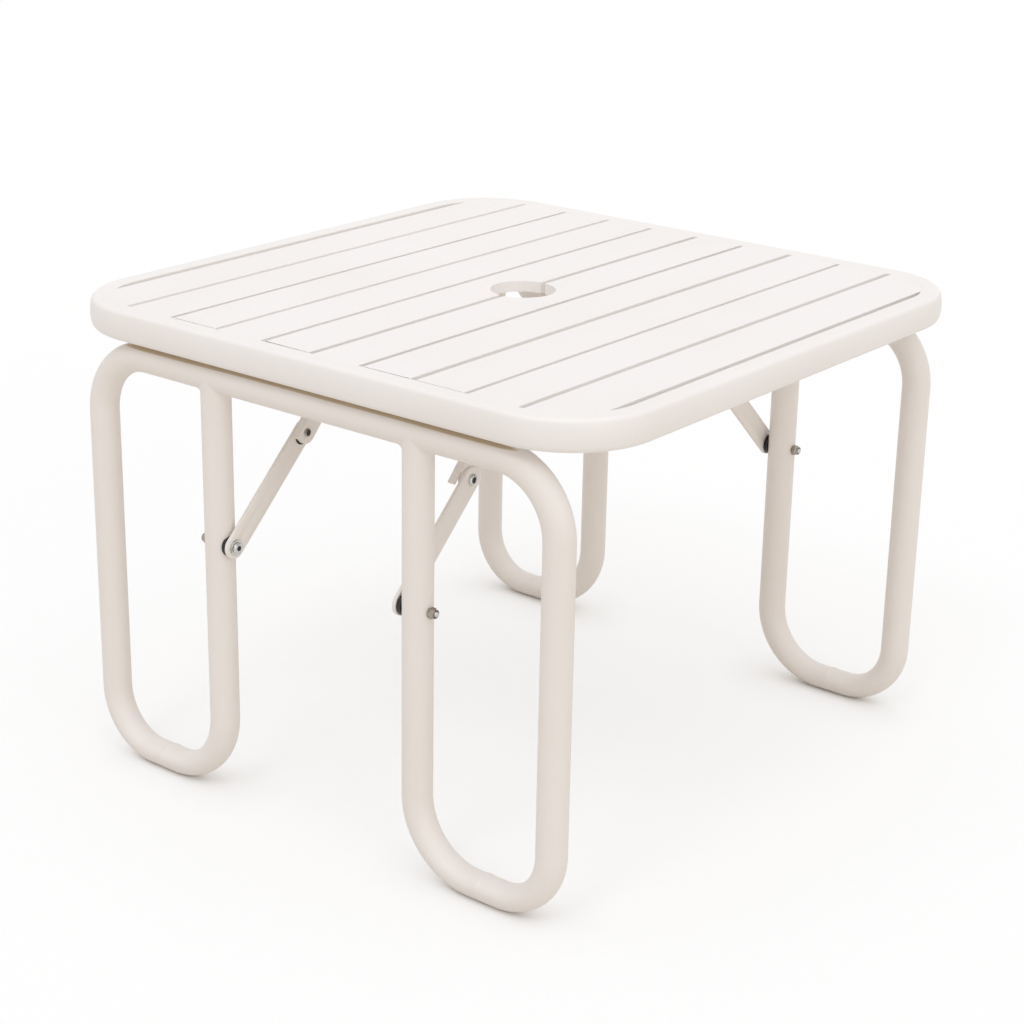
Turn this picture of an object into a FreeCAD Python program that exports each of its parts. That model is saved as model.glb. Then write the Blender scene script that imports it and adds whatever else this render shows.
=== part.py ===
import FreeCAD, Part
import math
import os

import Sketcher

# Folding slatted side table, millimetres, +Z up, origin on the floor under the middle of the top.
# X runs along the two leg frames, Y from frame a to frame b, the slats run along Y.

DOC = FreeCAD.newDocument("side_table")
V = FreeCAD.Vector

# Driving sizes
SIZES = {
    "top_size": 600.0,
    "table_height": 440.0,
    "rail_wide": 20.0,
    "rail_deep": 28.0,
    "rail_corner": 74.0,
    "rail_crest": 6.0,
    "rail_lip": 1.0,
    "rail_keel": 8.0,
    "slat_count": 10,
    "slat_gap": 4.8,
    "slat_thick": 10.0,
    "slat_round": 0.8,
    "slat_recess": 0.25,
    "slat_side_gap": 7.4,
    "slat_end_gap": 0.3,
    "umbrella_dia": 60.0,
    "leg_dia": 26.7,
    "leg_inset": 22.0,
    "leg_side_inset": 41.0,
    "bar_gap": 2.5,
    "top_bend": 60.0,
    "foot_bend_outer": 52.0,
    "foot_flat": 30.0,
    "foot_bend_inner": 62.0,
    "weld_gap": 0.05,
    "hinge_inset": 24.0,
    "hinge_clear": 2.0,
    "ear_thick": 5.0,
    "bracket_wall": 3.0,
    "pin_dia": 8.0,
    "pivot_dia": 6.0,
    "run_gap": 0.05,
    "side_gap": 0.3,
    "stay_drop": 152.0,
    "elbow_in": 88.0,
    "elbow_drop": 67.0,
    "anchor_in": 165.0,
    "anchor_drop": 15.5,
    "anchor_round": 9.0,
    "link_wide": 21.0,
    "link_thick": 3.5,
    "flange_thick": 2.5,
    "flange_deep": 5.5,
    "flange_past": 12.0,
    "flange_short": 26.0,
    "spacer_dia": 16.0,
    "spacer_thick": 2.4,
    "washer_dia": 14.0,
    "washer_thick": 1.2,
    "head_dia": 11.0,
    "head_high": 2.6,
    "rivet_head_dia": 12.0,
    "rivet_head_high": 2.3,
    "nut_wide": 10.0,
    "nut_high": 5.0,
    "nut_collar_dia": 8.8,
    "nut_collar_high": 1.6,
    "thread_past": 3.4,
}

SHEET = DOC.addObject("Spreadsheet::Sheet", "sheet")
for row, (alias, value) in enumerate(SIZES.items(), start=1):
    SHEET.set(f"A{row}", alias)
    SHEET.set(f"B{row}", str(value))
    SHEET.setAlias(f"B{row}", alias)
DOC.recompute()

# Sizes that follow from the driving ones, each bound to the sheet
DERIVED = {
    "half_top": "sheet.top_size / 2",
    "rail_line": "sheet.top_size / 2 - sheet.rail_wide / 2",
    "rail_inner": "sheet.top_size / 2 - sheet.rail_wide",
    "rail_axis": "sheet.table_height - sheet.rail_deep / 2",
    "rail_under": "sheet.table_height - sheet.rail_deep",
    "rail_start": "layout.rail_line - sheet.rail_corner",
    "slat_reach": "layout.rail_inner - sheet.slat_end_gap",
    "slat_corner": "sheet.rail_corner - sheet.rail_wide / 2 - sheet.slat_end_gap",
    "slat_upper": "sheet.table_height - sheet.slat_recess",
    "slat_under": "layout.slat_upper - sheet.slat_thick",
    "slat_field": "sheet.top_size - 2 * sheet.rail_wide - 2 * sheet.slat_side_gap",
    "slat_wide": "(layout.slat_field - (sheet.slat_count - 1) * sheet.slat_gap) / sheet.slat_count",
    "slat_half": "layout.slat_wide / 2",
    "slat_pitch": "layout.slat_wide + sheet.slat_gap",
    "slat_blank": "2 * layout.rail_line",
    "leg_half": "sheet.leg_dia / 2",
    "leg_plane": "layout.half_top - sheet.leg_inset",
    "leg_out": "layout.half_top - sheet.leg_side_inset",
    "leg_in": "layout.leg_out - sheet.foot_bend_outer - sheet.foot_flat - sheet.foot_bend_inner",
    "foot_seam": "layout.leg_out - sheet.foot_bend_outer - sheet.foot_flat / 2",
    "bar_height": "layout.rail_under - sheet.bar_gap - layout.leg_half",
    "cope_dia": "sheet.leg_dia + 2 * sheet.weld_gap",
    "pin_hole": "sheet.pin_dia + 2 * sheet.run_gap",
    "pivot_hole": "sheet.pivot_dia + 2 * sheet.run_gap",
    "hinge_round": "sheet.hinge_inset - layout.leg_half - sheet.hinge_clear",
    "hinge_across": "layout.slat_pitch * ((sheet.slat_count - 1) / 2 - 1)",
    "hinge_drop": "layout.slat_under - layout.bar_height",
    "hinge_slot": "sheet.ear_thick + 2 * sheet.side_gap",
    "hinge_width": "layout.hinge_slot + 2 * sheet.bracket_wall",
    "anchor_height": "layout.slat_under - sheet.anchor_drop",
    "anchor_rise": "layout.anchor_height - layout.bar_height",
    "anchor_slot": "sheet.link_thick + 2 * sheet.side_gap",
    "anchor_width": "layout.anchor_slot + 2 * sheet.bracket_wall",
    "stay_height": "layout.bar_height - sheet.stay_drop",
    "elbow_height": "layout.bar_height - sheet.elbow_drop",
    "lower_long": "hypot(sheet.elbow_in; sheet.stay_drop - sheet.elbow_drop)",
    "upper_long": "hypot(sheet.anchor_in - sheet.elbow_in; sheet.elbow_drop + layout.anchor_rise)",
    "link_half": "sheet.link_wide / 2",
    "flange_edge": "layout.link_half + sheet.flange_thick",
    "flange_root": "layout.link_half - sheet.flange_thick",
    "flange_near": "sheet.flange_short",
    "flange_far": "layout.upper_long + sheet.flange_past",
    "flange_reach": "sheet.link_thick / 2 + sheet.flange_deep",
    "leg_face": "layout.leg_in - layout.leg_half",
    "nut_face": "layout.leg_in + layout.leg_half",
    "spacer_face": "layout.leg_face - sheet.spacer_thick",
    "spacer_long": "layout.leg_in - layout.spacer_face",
    "lower_face": "layout.spacer_face - sheet.side_gap",
    "lower_mid": "layout.lower_face - sheet.link_thick / 2",
    "lower_back": "layout.lower_face - sheet.link_thick",
    "upper_face": "layout.lower_back - sheet.side_gap",
    "upper_mid": "layout.upper_face - sheet.link_thick / 2",
    "upper_back": "layout.upper_face - sheet.link_thick",
    "washer_face": "layout.lower_back - sheet.side_gap",
    "washer_back": "layout.washer_face - sheet.washer_thick",
    "bolt_long": "layout.nut_face + sheet.nut_high + sheet.thread_past - layout.washer_back",
    "nut_bore": "sheet.nut_high + sheet.nut_collar_high",
    "head_radius": "(sheet.head_dia ^ 2 / 4 + sheet.head_high ^ 2) / (2 * sheet.head_high)",
    "head_sink": "layout.head_radius - sheet.head_high",
    "rivet_radius": "(sheet.rivet_head_dia ^ 2 / 4 + sheet.rivet_head_high ^ 2) / (2 * sheet.rivet_head_high)",
    "rivet_sink": "layout.rivet_radius - sheet.rivet_head_high",
}

LAYOUT = DOC.addObject("App::VarSet", "layout")
for alias, rule in DERIVED.items():
    LAYOUT.addProperty("App::PropertyFloat", alias, "Layout")
    LAYOUT.setExpression(alias, rule)
DOC.recompute()


def ref(name: str) -> str:
    """Expression that names a driving or a derived size."""
    return f"sheet.{name}" if name in SIZES else f"layout.{name}"


def number(name: str) -> float:
    """Value behind a size's name, which may carry a minus sign."""
    plain = name.lstrip("-")
    value = SHEET.get(plain) if plain in SIZES else getattr(LAYOUT, plain)
    return -float(value) if name.startswith("-") else float(value)


def fix(sketch, axis: str, geo: int, pos: int, name: str) -> None:
    """Ties one coordinate of a sketch point to a size, or to the axis itself for "0"."""
    if name == "0":
        line = -2 if axis == "X" else -1
        sketch.addConstraint(Sketcher.Constraint("PointOnObject", geo, pos, line))
        return
    ends = (geo, pos, -1, 1) if name.startswith("-") else (-1, 1, geo, pos)
    rule = Sketcher.Constraint(f"Distance{axis}", *ends, abs(number(name)))
    index = sketch.addConstraint(rule)
    sketch.setExpression(f"Constraints[{index}]", ref(name.lstrip("-")))


def bind(sketch, kind: str, geo: int, name: str) -> None:
    """Ties a radius or a diameter in a sketch to a size."""
    index = sketch.addConstraint(Sketcher.Constraint(kind, geo, number(name)))
    sketch.setExpression(f"Constraints[{index}]", ref(name))


def trace(sketch, corners: list, radii: list, closed: bool) -> None:
    """Draws level and upright runs through corners, each rounded by its radius or left sharp.

    An open trace takes its first and last corner as its ends, and their radii are not used.
    """
    points = [V(0.0 if x == "0" else number(x), 0.0 if y == "0" else number(y), 0) for x, y in corners]
    count = len(points)
    sides = [(k, (k + 1) % count) for k in range(count if closed else count - 1)]
    cuts = [0.0 if name is None else number(name) for name in radii]
    lines = []
    for first, last in sides:
        way = (points[last] - points[first]).normalize()
        start = points[first] + way * cuts[first]
        end = points[last] - way * cuts[last]
        lines.append(sketch.addGeometry(Part.LineSegment(start, end), False))
        level = abs(way.x) > 0.5
        sketch.addConstraint(Sketcher.Constraint("Horizontal" if level else "Vertical", lines[-1]))
        fix(sketch, "Y" if level else "X", lines[-1], 1, corners[first][1 if level else 0])
    if not closed:
        for line, pos, corner, first, last in (
            (lines[0], 1, corners[0], *sides[0]),
            (lines[-1], 2, corners[-1], *sides[-1]),
        ):
            level = abs(points[last].x - points[first].x) > abs(points[last].y - points[first].y)
            fix(sketch, "X" if level else "Y", line, pos, corner[0 if level else 1])
    joints = [(k - 1, k, sides[k][0]) for k in range(0 if closed else 1, len(sides))]
    for before, after, corner in joints:
        old = lines[before]
        new = lines[after]
        if radii[corner] is None:
            sketch.addConstraint(Sketcher.Constraint("Coincident", old, 2, new, 1))
            continue
        into = (points[sides[before][1]] - points[sides[before][0]]).normalize()
        out = (points[sides[after][1]] - points[sides[after][0]]).normalize()
        radius = cuts[corner]
        middle = points[corner] - into * radius + out * radius
        left = into.x * out.y - into.y * out.x > 0
        edges = (points[corner] - into * radius, points[corner] + out * radius)
        from_point, to_point = edges if left else edges[::-1]
        turn = [math.atan2(p.y - middle.y, p.x - middle.x) for p in (from_point, to_point)]
        arc = Part.ArcOfCircle(Part.Circle(middle, V(0, 0, 1), radius), turn[0], turn[1])
        geo = sketch.addGeometry(arc, False)
        sketch.addConstraint(Sketcher.Constraint("Tangent", old, 2, geo, 1 if left else 2))
        sketch.addConstraint(Sketcher.Constraint("Tangent", geo, 2 if left else 1, new, 1))
        bind(sketch, "Radius", geo, radii[corner])


def disc(sketch, x: str, y: str, diameter: str) -> int:
    """Draws a circle of a named diameter."""
    centre = V(0.0 if x == "0" else number(x), 0.0 if y == "0" else number(y), 0)
    geo = sketch.addGeometry(Part.Circle(centre, V(0, 0, 1), number(diameter) / 2), False)
    if x == "0" and y == "0":
        sketch.addConstraint(Sketcher.Constraint("Coincident", geo, 3, -1, 1))
    else:
        fix(sketch, "X", geo, 3, x)
        fix(sketch, "Y", geo, 3, y)
    bind(sketch, "Diameter", geo, diameter)
    return geo


def oblong(sketch, length: str, radius: str, near: str, far: str) -> None:
    """Draws a round-ended plate from the origin along the sketch's X, with a hole at named ends."""
    run = number(length)
    half = number(radius)
    top = sketch.addGeometry(Part.LineSegment(V(run, half, 0), V(0, half, 0)), False)
    low = sketch.addGeometry(Part.LineSegment(V(0, -half, 0), V(run, -half, 0)), False)
    up = V(0, 0, 1)
    tail = Part.ArcOfCircle(Part.Circle(V(0, 0, 0), up, half), math.pi / 2, 3 * math.pi / 2)
    nose = Part.ArcOfCircle(Part.Circle(V(run, 0, 0), up, half), -math.pi / 2, math.pi / 2)
    tail = sketch.addGeometry(tail, False)
    nose = sketch.addGeometry(nose, False)
    for rule in (
        ("Tangent", top, 2, tail, 1),
        ("Tangent", tail, 2, low, 1),
        ("Tangent", low, 2, nose, 1),
        ("Tangent", nose, 2, top, 1),
        ("Coincident", tail, 3, -1, 1),
        ("PointOnObject", nose, 3, -1),
        ("Horizontal", top),
    ):
        sketch.addConstraint(Sketcher.Constraint(*rule))
    fix(sketch, "X", nose, 3, length)
    bind(sketch, "Radius", tail, radius)
    for end, hole in ((tail, near), (nose, far)):
        if hole:
            centre = V(0, 0, 0) if end == tail else V(run, 0, 0)
            geo = sketch.addGeometry(Part.Circle(centre, up, number(hole) / 2), False)
            sketch.addConstraint(Sketcher.Constraint("Coincident", geo, 3, end, 3))
            bind(sketch, "Diameter", geo, hole)


def lug(sketch, rise: str, radius: str, hole: str) -> None:
    """Draws a plate that stands up from a pin at the origin, round below, square on top."""
    high = number(rise)
    half = number(radius)
    up = V(0, 0, 1)
    right = sketch.addGeometry(Part.LineSegment(V(half, 0, 0), V(half, high, 0)), False)
    top = sketch.addGeometry(Part.LineSegment(V(half, high, 0), V(-half, high, 0)), False)
    left = sketch.addGeometry(Part.LineSegment(V(-half, high, 0), V(-half, 0, 0)), False)
    bow = Part.ArcOfCircle(Part.Circle(V(0, 0, 0), up, half), math.pi, 2 * math.pi)
    bow = sketch.addGeometry(bow, False)
    for rule in (
        ("Coincident", right, 2, top, 1),
        ("Coincident", top, 2, left, 1),
        ("Tangent", left, 2, bow, 1),
        ("Tangent", bow, 2, right, 1),
        ("Coincident", bow, 3, -1, 1),
        ("Horizontal", top),
        ("Vertical", right),
        ("Vertical", left),
    ):
        sketch.addConstraint(Sketcher.Constraint(*rule))
    fix(sketch, "Y", top, 1, rise)
    bind(sketch, "Radius", bow, radius)
    disc(sketch, "0", "0", hole)


def new_sketch(body, name: str, role: str, lift: str = ""):
    """Adds a sketch on one of a body's own planes, moved along the plane's normal by a size."""
    sketch = body.newObject("Sketcher::SketchObject", name)
    plane = [item for item in body.Origin.OriginFeatures if item.Role == role][0]
    sketch.AttachmentSupport = (plane, [""])
    sketch.MapMode = "FlatFace"
    if lift:
        sign = "-" if lift.startswith("-") else ""
        sketch.setExpression(".AttachmentOffset.Base.z", sign + ref(lift.lstrip("-")))
    return sketch


def new_body(label: str):
    """Adds an empty body under a label."""
    body = DOC.addObject("PartDesign::Body", f"body_{label}")
    body.Label = label
    return body


def extrude(body, sketch, kind: str, length: str, symmetric: bool = True, reverse: bool = False):
    """Pads or pockets a sketch by a named length."""
    feature = body.newObject(f"PartDesign::{kind}", f"{sketch.Name}_{kind.lower()}")
    feature.Profile = sketch
    feature.SideType = "Symmetric" if symmetric else "One side"
    feature.Reversed = reverse
    feature.setExpression("Length", ref(length))
    sketch.Visibility = False
    return feature


def tube(body, path, section) -> None:
    """Runs a section along a bent path."""
    pipe = body.newObject("PartDesign::AdditivePipe", f"{path.Name}_pipe")
    pipe.Profile = section
    pipe.Spine = path


def move(item, x: str, y: str, z: str) -> None:
    """Binds where an object stands to expressions."""
    for axis, rule in zip("xyz", (x, y, z)):
        if rule:
            item.setExpression(f".Placement.Base.{axis}", rule)


def aim(item, side: int) -> None:
    """Turns an object's own Z to +X for side 1 and to -X for side -1."""
    item.Placement = FreeCAD.Placement(V(0, 0, 0), FreeCAD.Rotation(V(0, 1, 0), 90 * side))


def rod(name: str, radius: str, start: str, length: str, side: int, y: str, z: str):
    """Round bar that starts a named distance from the middle plane and runs outward."""
    bar = DOC.addObject("Part::Cylinder", name)
    bar.setExpression("Radius", radius)
    bar.setExpression("Height", length)
    aim(bar, side)
    move(bar, f"{side} * ({start})", y, z)
    return bar


def dome(name: str, kind: str, face: str, outward: int, side: int, y: str, z: str):
    """Low round head that stands on a face and bulges outward (1) or to the middle (-1)."""
    cap = DOC.addObject("Part::Sphere", name)
    cap.setExpression("Radius", f"layout.{kind}_radius")
    cap.setExpression("Angle1", f"asin(layout.{kind}_sink / layout.{kind}_radius)")
    cap.Angle2 = 90
    aim(cap, side * outward)
    move(cap, f"{side} * (({face}) - {outward} * layout.{kind}_sink)", y, z)
    return cap


def cut(label: str, base, tool):
    """Takes one object from another."""
    result = DOC.addObject("Part::Cut", f"cut_{label}")
    result.Base = base
    result.Tool = tool
    result.Label = label
    return result


def fuse(label: str, pieces: list):
    """Joins objects that belong to one solid."""
    result = DOC.addObject("Part::MultiFuse", f"fuse_{label}")
    result.Shapes = pieces
    result.Label = label
    return result


def group(label: str, pieces: list):
    """Keeps equal fasteners together as separate solids."""
    result = DOC.addObject("Part::Compound", f"group_{label}")
    result.Links = pieces
    result.Label = label
    return result


NODES = []
SIDES = (("left", -1), ("right", 1))
FRAMES = (("a", -1), ("b", 1))

# Rail: one flat-sided tube bent into a square with rounded corners, its top level with the slats

rail = new_body("top_rail")
rail_path = new_sketch(rail, "rail_path", "XY_Plane", "rail_axis")
square = [
    ("-rail_line", "-rail_line"),
    ("rail_line", "-rail_line"),
    ("rail_line", "rail_line"),
    ("-rail_line", "rail_line"),
]
trace(rail_path, square, ["rail_corner"] * 4, True)
rail_section = new_sketch(rail, "rail_section", "YZ_Plane", "-rail_start")
rail_outline = [
    ("-half_top", "rail_under"),
    ("-rail_inner", "rail_under"),
    ("-rail_inner", "table_height"),
    ("-half_top", "table_height"),
]
trace(rail_section, rail_outline, ["rail_keel", "rail_keel", "rail_lip", "rail_crest"], True)
tube(rail, rail_path, rail_section)
NODES.append(rail)

# Slats: rounded along their upper edges, trimmed to the rail all round, holed in the middle

hole = DOC.addObject("Part::Cylinder", "umbrella_hole")
hole.setExpression("Radius", "sheet.umbrella_dia / 2")
hole.setExpression("Height", "sheet.table_height")

field = new_body("slat_field")
field_sketch = new_sketch(field, "field_sketch", "XY_Plane")
field_corners = [
    ("-slat_reach", "-slat_reach"),
    ("slat_reach", "-slat_reach"),
    ("slat_reach", "slat_reach"),
    ("-slat_reach", "slat_reach"),
]
trace(field_sketch, field_corners, ["slat_corner"] * 4, True)
extrude(field, field_sketch, "Pad", "table_height", symmetric=False)

for index in range(int(SIZES["slat_count"])):
    blank = new_body(f"slat_blank_{index + 1:02d}")
    profile = new_sketch(blank, f"slat_profile_{index + 1:02d}", "XZ_Plane")
    outline = [
        ("-slat_half", "slat_under"),
        ("slat_half", "slat_under"),
        ("slat_half", "slat_upper"),
        ("-slat_half", "slat_upper"),
    ]
    trace(profile, outline, [None, None, "slat_round", "slat_round"], True)
    extrude(blank, profile, "Pad", "slat_blank")
    move(blank, f"layout.slat_pitch * ({index} - (sheet.slat_count - 1) / 2)", "", "")
    trimmed = DOC.addObject("Part::Common", f"slat_trimmed_{index + 1:02d}")
    trimmed.Base = blank
    trimmed.Tool = field
    NODES.append(cut(f"slat_{index + 1:02d}", trimmed, hole))

# Brackets under the slats


def clevis(label: str, drop: str, radius: str, slot: str, width: str, hole_dia: str):
    """U bracket with its pin at the body's origin and its flat base above."""
    body = new_body(label)
    plate = new_sketch(body, f"{label}_plate", "YZ_Plane")
    lug(plate, drop, radius, hole_dia)
    extrude(body, plate, "Pad", width)
    gap = new_sketch(body, f"{label}_gap", "YZ_Plane")
    throat = [
        (f"-{radius}", f"-{radius}"),
        (radius, f"-{radius}"),
        (radius, f"{label}_throat"),
        (f"-{radius}", f"{label}_throat"),
    ]
    LAYOUT.addProperty("App::PropertyFloat", f"{label}_throat", "Layout")
    LAYOUT.setExpression(f"{label}_throat", f"{ref(drop)} - sheet.bracket_wall")
    DOC.recompute()
    trace(gap, throat, [None] * 4, True)
    extrude(body, gap, "Pocket", slot)
    return body


pins = []
rivets = []
for frame, way in FRAMES:
    for side_name, side in SIDES:
        tag = f"{frame}_{side_name}"
        y_hinge = f"{way} * (layout.leg_plane - sheet.hinge_inset)"
        y_anchor = f"{way} * (layout.leg_plane - sheet.anchor_in)"
        bracket = clevis(
            f"hinge_bracket_{tag}", "hinge_drop", "hinge_round", "hinge_slot", "hinge_width", "pin_hole"
        )
        move(bracket, f"{side} * layout.hinge_across", y_hinge, "layout.bar_height")
        anchor = clevis(
            f"stay_bracket_{tag}", "anchor_drop", "anchor_round", "anchor_slot", "anchor_width", "pivot_hole"
        )
        move(anchor, f"{side} * layout.upper_mid", y_anchor, "layout.anchor_height")
        NODES.extend([bracket, anchor])
        for store, name, middle, width, radius, y, z in (
            (pins, "pin", "hinge_across", "hinge_width", "sheet.pin_dia / 2", y_hinge, "layout.bar_height"),
            (rivets, "rivet", "upper_mid", "anchor_width", "sheet.pivot_dia / 2", y_anchor, "layout.anchor_height"),
        ):
            near = f"layout.{middle} - layout.{width} / 2"
            far = f"layout.{middle} + layout.{width} / 2"
            shank = rod(f"{name}_shank_{tag}", radius, near, f"layout.{width}", side, y, z)
            outer = dome(f"{name}_outer_{tag}", "rivet", far, 1, side, y, z)
            inner = dome(f"{name}_inner_{tag}", "rivet", near, -1, side, y, z)
            store.append(fuse(f"{name}_{tag}", [shank, outer, inner]))
NODES.append(group("hinge_pins", pins))
NODES.append(group("stay_rivets", rivets))

# Leg frames: a hoop and two J legs of the same tube, each frame in its own plane


def hoop_body(label: str):
    """Top bar, outer legs and the outer halves of both feet in one bent tube."""
    body = new_body(label)
    path = new_sketch(body, f"{label}_path", "XZ_Plane")
    run = [
        ("-foot_seam", "leg_half"),
        ("-leg_out", "leg_half"),
        ("-leg_out", "bar_height"),
        ("leg_out", "bar_height"),
        ("leg_out", "leg_half"),
        ("foot_seam", "leg_half"),
    ]
    trace(path, run, [None, "foot_bend_outer", "top_bend", "top_bend", "foot_bend_outer", None], False)
    section = new_sketch(body, f"{label}_section", "YZ_Plane", "-foot_seam")
    disc(section, "0", "leg_half", "leg_dia")
    tube(body, path, section)
    return body


def inner_body(label: str, side: int):
    """Inner half of a foot and the inner leg, coped to the bar and drilled for the stay's bolt."""
    sign = "-" if side < 0 else ""
    body = new_body(label)
    path = new_sketch(body, f"{label}_path", "XZ_Plane")
    run = [
        (f"{sign}foot_seam", "leg_half"),
        (f"{sign}leg_in", "leg_half"),
        (f"{sign}leg_in", "bar_height"),
    ]
    trace(path, run, [None, "foot_bend_inner", None], False)
    section = new_sketch(body, f"{label}_section", "YZ_Plane", f"{sign}foot_seam")
    disc(section, "0", "leg_half", "leg_dia")
    tube(body, path, section)
    for name, height, diameter in (("cope", "bar_height", "cope_dia"), ("bolt", "stay_height", "pivot_hole")):
        bore = new_sketch(body, f"{label}_{name}", "YZ_Plane")
        disc(bore, "0", height, diameter)
        extrude(body, bore, "Pocket", "top_size")
    return body


def ear_body(label: str, way: int):
    """Plate from the bar to the hinge pin, shaped to the bar."""
    body = new_body(label)
    plate = new_sketch(body, f"{label}_plate", "YZ_Plane")
    oblong(plate, "hinge_inset", "hinge_round", "", "pin_hole")
    extrude(body, plate, "Pad", "ear_thick")
    saddle = new_sketch(body, f"{label}_saddle", "YZ_Plane")
    disc(saddle, "0", "0", "cope_dia")
    extrude(body, saddle, "Pocket", "top_size")
    body.Placement = FreeCAD.Placement(V(0, 0, 0), FreeCAD.Rotation(V(0, 0, 1), 0 if way < 0 else 180))
    return body


for frame, way in FRAMES:
    y_leg = f"{way} * layout.leg_plane"
    hoop = hoop_body(f"leg_{frame}_hoop")
    move(hoop, "", y_leg, "")
    NODES.append(hoop)
    ears = []
    bolts = []
    washers = []
    spacers = []
    nuts = []
    for side_name, side in SIDES:
        tag = f"{frame}_{side_name}"
        inner = inner_body(f"leg_{frame}_inner_{side_name}", side)
        move(inner, "", y_leg, "")
        NODES.append(inner)
        ear = ear_body(f"ear_{tag}", way)
        move(ear, f"{side} * layout.hinge_across", y_leg, "layout.bar_height")
        ears.append(ear)
        z = "layout.stay_height"
        shank = rod(
            f"bolt_shank_{tag}", "sheet.pivot_dia / 2", "layout.washer_back", "layout.bolt_long", side, y_leg, z
        )
        head = dome(f"bolt_head_{tag}", "head", "layout.washer_back", -1, side, y_leg, z)
        bolts.append(fuse(f"bolt_{tag}", [shank, head]))
        for store, name, radius, start, length in (
            (washers, "washer", "sheet.washer_dia / 2", "layout.washer_back", "sheet.washer_thick"),
            (spacers, "spacer", "sheet.spacer_dia / 2", "layout.spacer_face", "layout.spacer_long"),
        ):
            disk = rod(f"{name}_disk_{tag}", radius, start, length, side, y_leg, z)
            bore = rod(f"{name}_bore_{tag}", "layout.pivot_hole / 2", start, length, side, y_leg, z)
            tools = [bore]
            if name == "spacer":
                post = DOC.addObject("Part::Cylinder", f"post_{tag}")
                post.setExpression("Radius", "layout.cope_dia / 2")
                post.setExpression("Height", "sheet.table_height")
                move(post, f"{side} * layout.leg_in", y_leg, "")
                tools.append(post)
            store.append(cut(f"{name}_{tag}", disk, fuse(f"{name}_tools_{tag}", tools) if len(tools) > 1 else bore))
        prism = DOC.addObject("Part::Prism", f"nut_prism_{tag}")
        prism.Polygon = 6
        prism.setExpression("Circumradius", "sheet.nut_wide / sqrt(3)")
        prism.setExpression("Height", "sheet.nut_high")
        aim(prism, side)
        move(prism, f"{side} * layout.nut_face", y_leg, z)
        seat = "layout.nut_face + sheet.nut_high"
        collar = rod(
            f"nut_collar_{tag}", "sheet.nut_collar_dia / 2", seat, "sheet.nut_collar_high", side, y_leg, z
        )
        bore = rod(f"nut_bore_{tag}", "layout.pivot_hole / 2", "layout.nut_face", "layout.nut_bore", side, y_leg, z)
        nuts.append(cut(f"nut_{tag}", fuse(f"nut_blank_{tag}", [prism, collar]), bore))
    for name, pieces in (
        ("hinge_ears", ears),
        ("pivot_bolts", bolts),
        ("washers", washers),
        ("spacers", spacers),
        ("lock_nuts", nuts),
    ):
        NODES.append(group(f"leg_{frame}_{name}", pieces))

# Stays: two flat links on each inner leg, with the elbow rivet parted between them


def link_place(side: int, way: int, middle: str, inward: str, height: str, slope: float):
    """Where a link stands: its own X along the link, its own Z level, at a pin's middle plane."""
    reach = V(0, -way * math.cos(slope), math.sin(slope))
    across = V(0, -way * -math.sin(slope), math.cos(slope))
    normal = reach.cross(across)
    spin = FreeCAD.Rotation(reach, across, normal, "XYZ")
    y = way * (number("leg_plane") - (number(inward) if inward else 0.0))
    return FreeCAD.Placement(V(side * number(middle), y, number(height)), spin)


lower_slope = math.atan2(number("stay_drop") - number("elbow_drop"), number("elbow_in"))
upper_slope = math.atan2(
    -number("elbow_drop") - number("anchor_rise"), number("elbow_in") - number("anchor_in")
)

for frame, way in FRAMES:
    for side_name, side in SIDES:
        tag = f"{frame}_{side_name}"
        lower = new_body(f"lower_link_{tag}")
        plate = new_sketch(lower, f"lower_plate_{tag}", "XY_Plane")
        oblong(plate, "lower_long", "link_half", "pivot_hole", "pivot_hole")
        extrude(lower, plate, "Pad", "link_thick")
        lower.Placement = link_place(side, way, "lower_mid", "", "stay_height", lower_slope)

        upper = new_body(f"upper_link_{tag}")
        plate = new_sketch(upper, f"upper_plate_{tag}", "XY_Plane")
        oblong(plate, "upper_long", "link_half", "pivot_hole", "pivot_hole")
        extrude(upper, plate, "Pad", "link_thick")
        lip = new_sketch(upper, f"upper_lip_{tag}", "XY_Plane")
        strip = [
            ("flange_near", "-flange_edge"),
            ("flange_far", "-flange_edge"),
            ("flange_far", "-link_half"),
            ("flange_near", "-link_half"),
        ]
        trace(lip, strip, [None] * 4, True)
        extrude(upper, lip, "Pad", "flange_reach", symmetric=False, reverse=side * way < 0)
        web = new_sketch(upper, f"upper_web_{tag}", "XY_Plane")
        plane_strip = [
            ("flange_near", "-flange_edge"),
            ("upper_long", "-flange_edge"),
            ("upper_long", "-flange_root"),
            ("flange_near", "-flange_root"),
        ]
        trace(web, plane_strip, [None] * 4, True)
        extrude(upper, web, "Pad", "link_thick")
        upper.Placement = link_place(side, way, "upper_mid", "anchor_in", "anchor_height", upper_slope)

        y = f"{way} * (layout.leg_plane - sheet.elbow_in)"
        z = "layout.elbow_height"
        half = "sheet.pivot_dia / 2"
        tail = rod(f"tail_shank_{tag}", half, "layout.lower_back", "sheet.link_thick", side, y, z)
        tail_head = dome(f"tail_head_{tag}", "rivet", "layout.lower_face", 1, side, y, z)
        nose = rod(f"nose_shank_{tag}", half, "layout.upper_back", "sheet.link_thick", side, y, z)
        nose_head = dome(f"nose_head_{tag}", "rivet", "layout.upper_back", -1, side, y, z)
        NODES.extend([lower, upper])
        NODES.append(fuse(f"elbow_tail_{tag}", [tail, tail_head]))
        NODES.append(fuse(f"elbow_head_{tag}", [nose, nose_head]))

DOC.recompute()

faults = [item.Name for item in DOC.Objects if {"Invalid", "Error"} & set(item.State)]
if faults:
    raise RuntimeError(f"features failed: {faults}")
for node in NODES:
    if node.Shape.isNull() or not node.Shape.isValid() or not node.Shape.Solids:
        raise RuntimeError(f"shape failed: {node.Label}")

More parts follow.
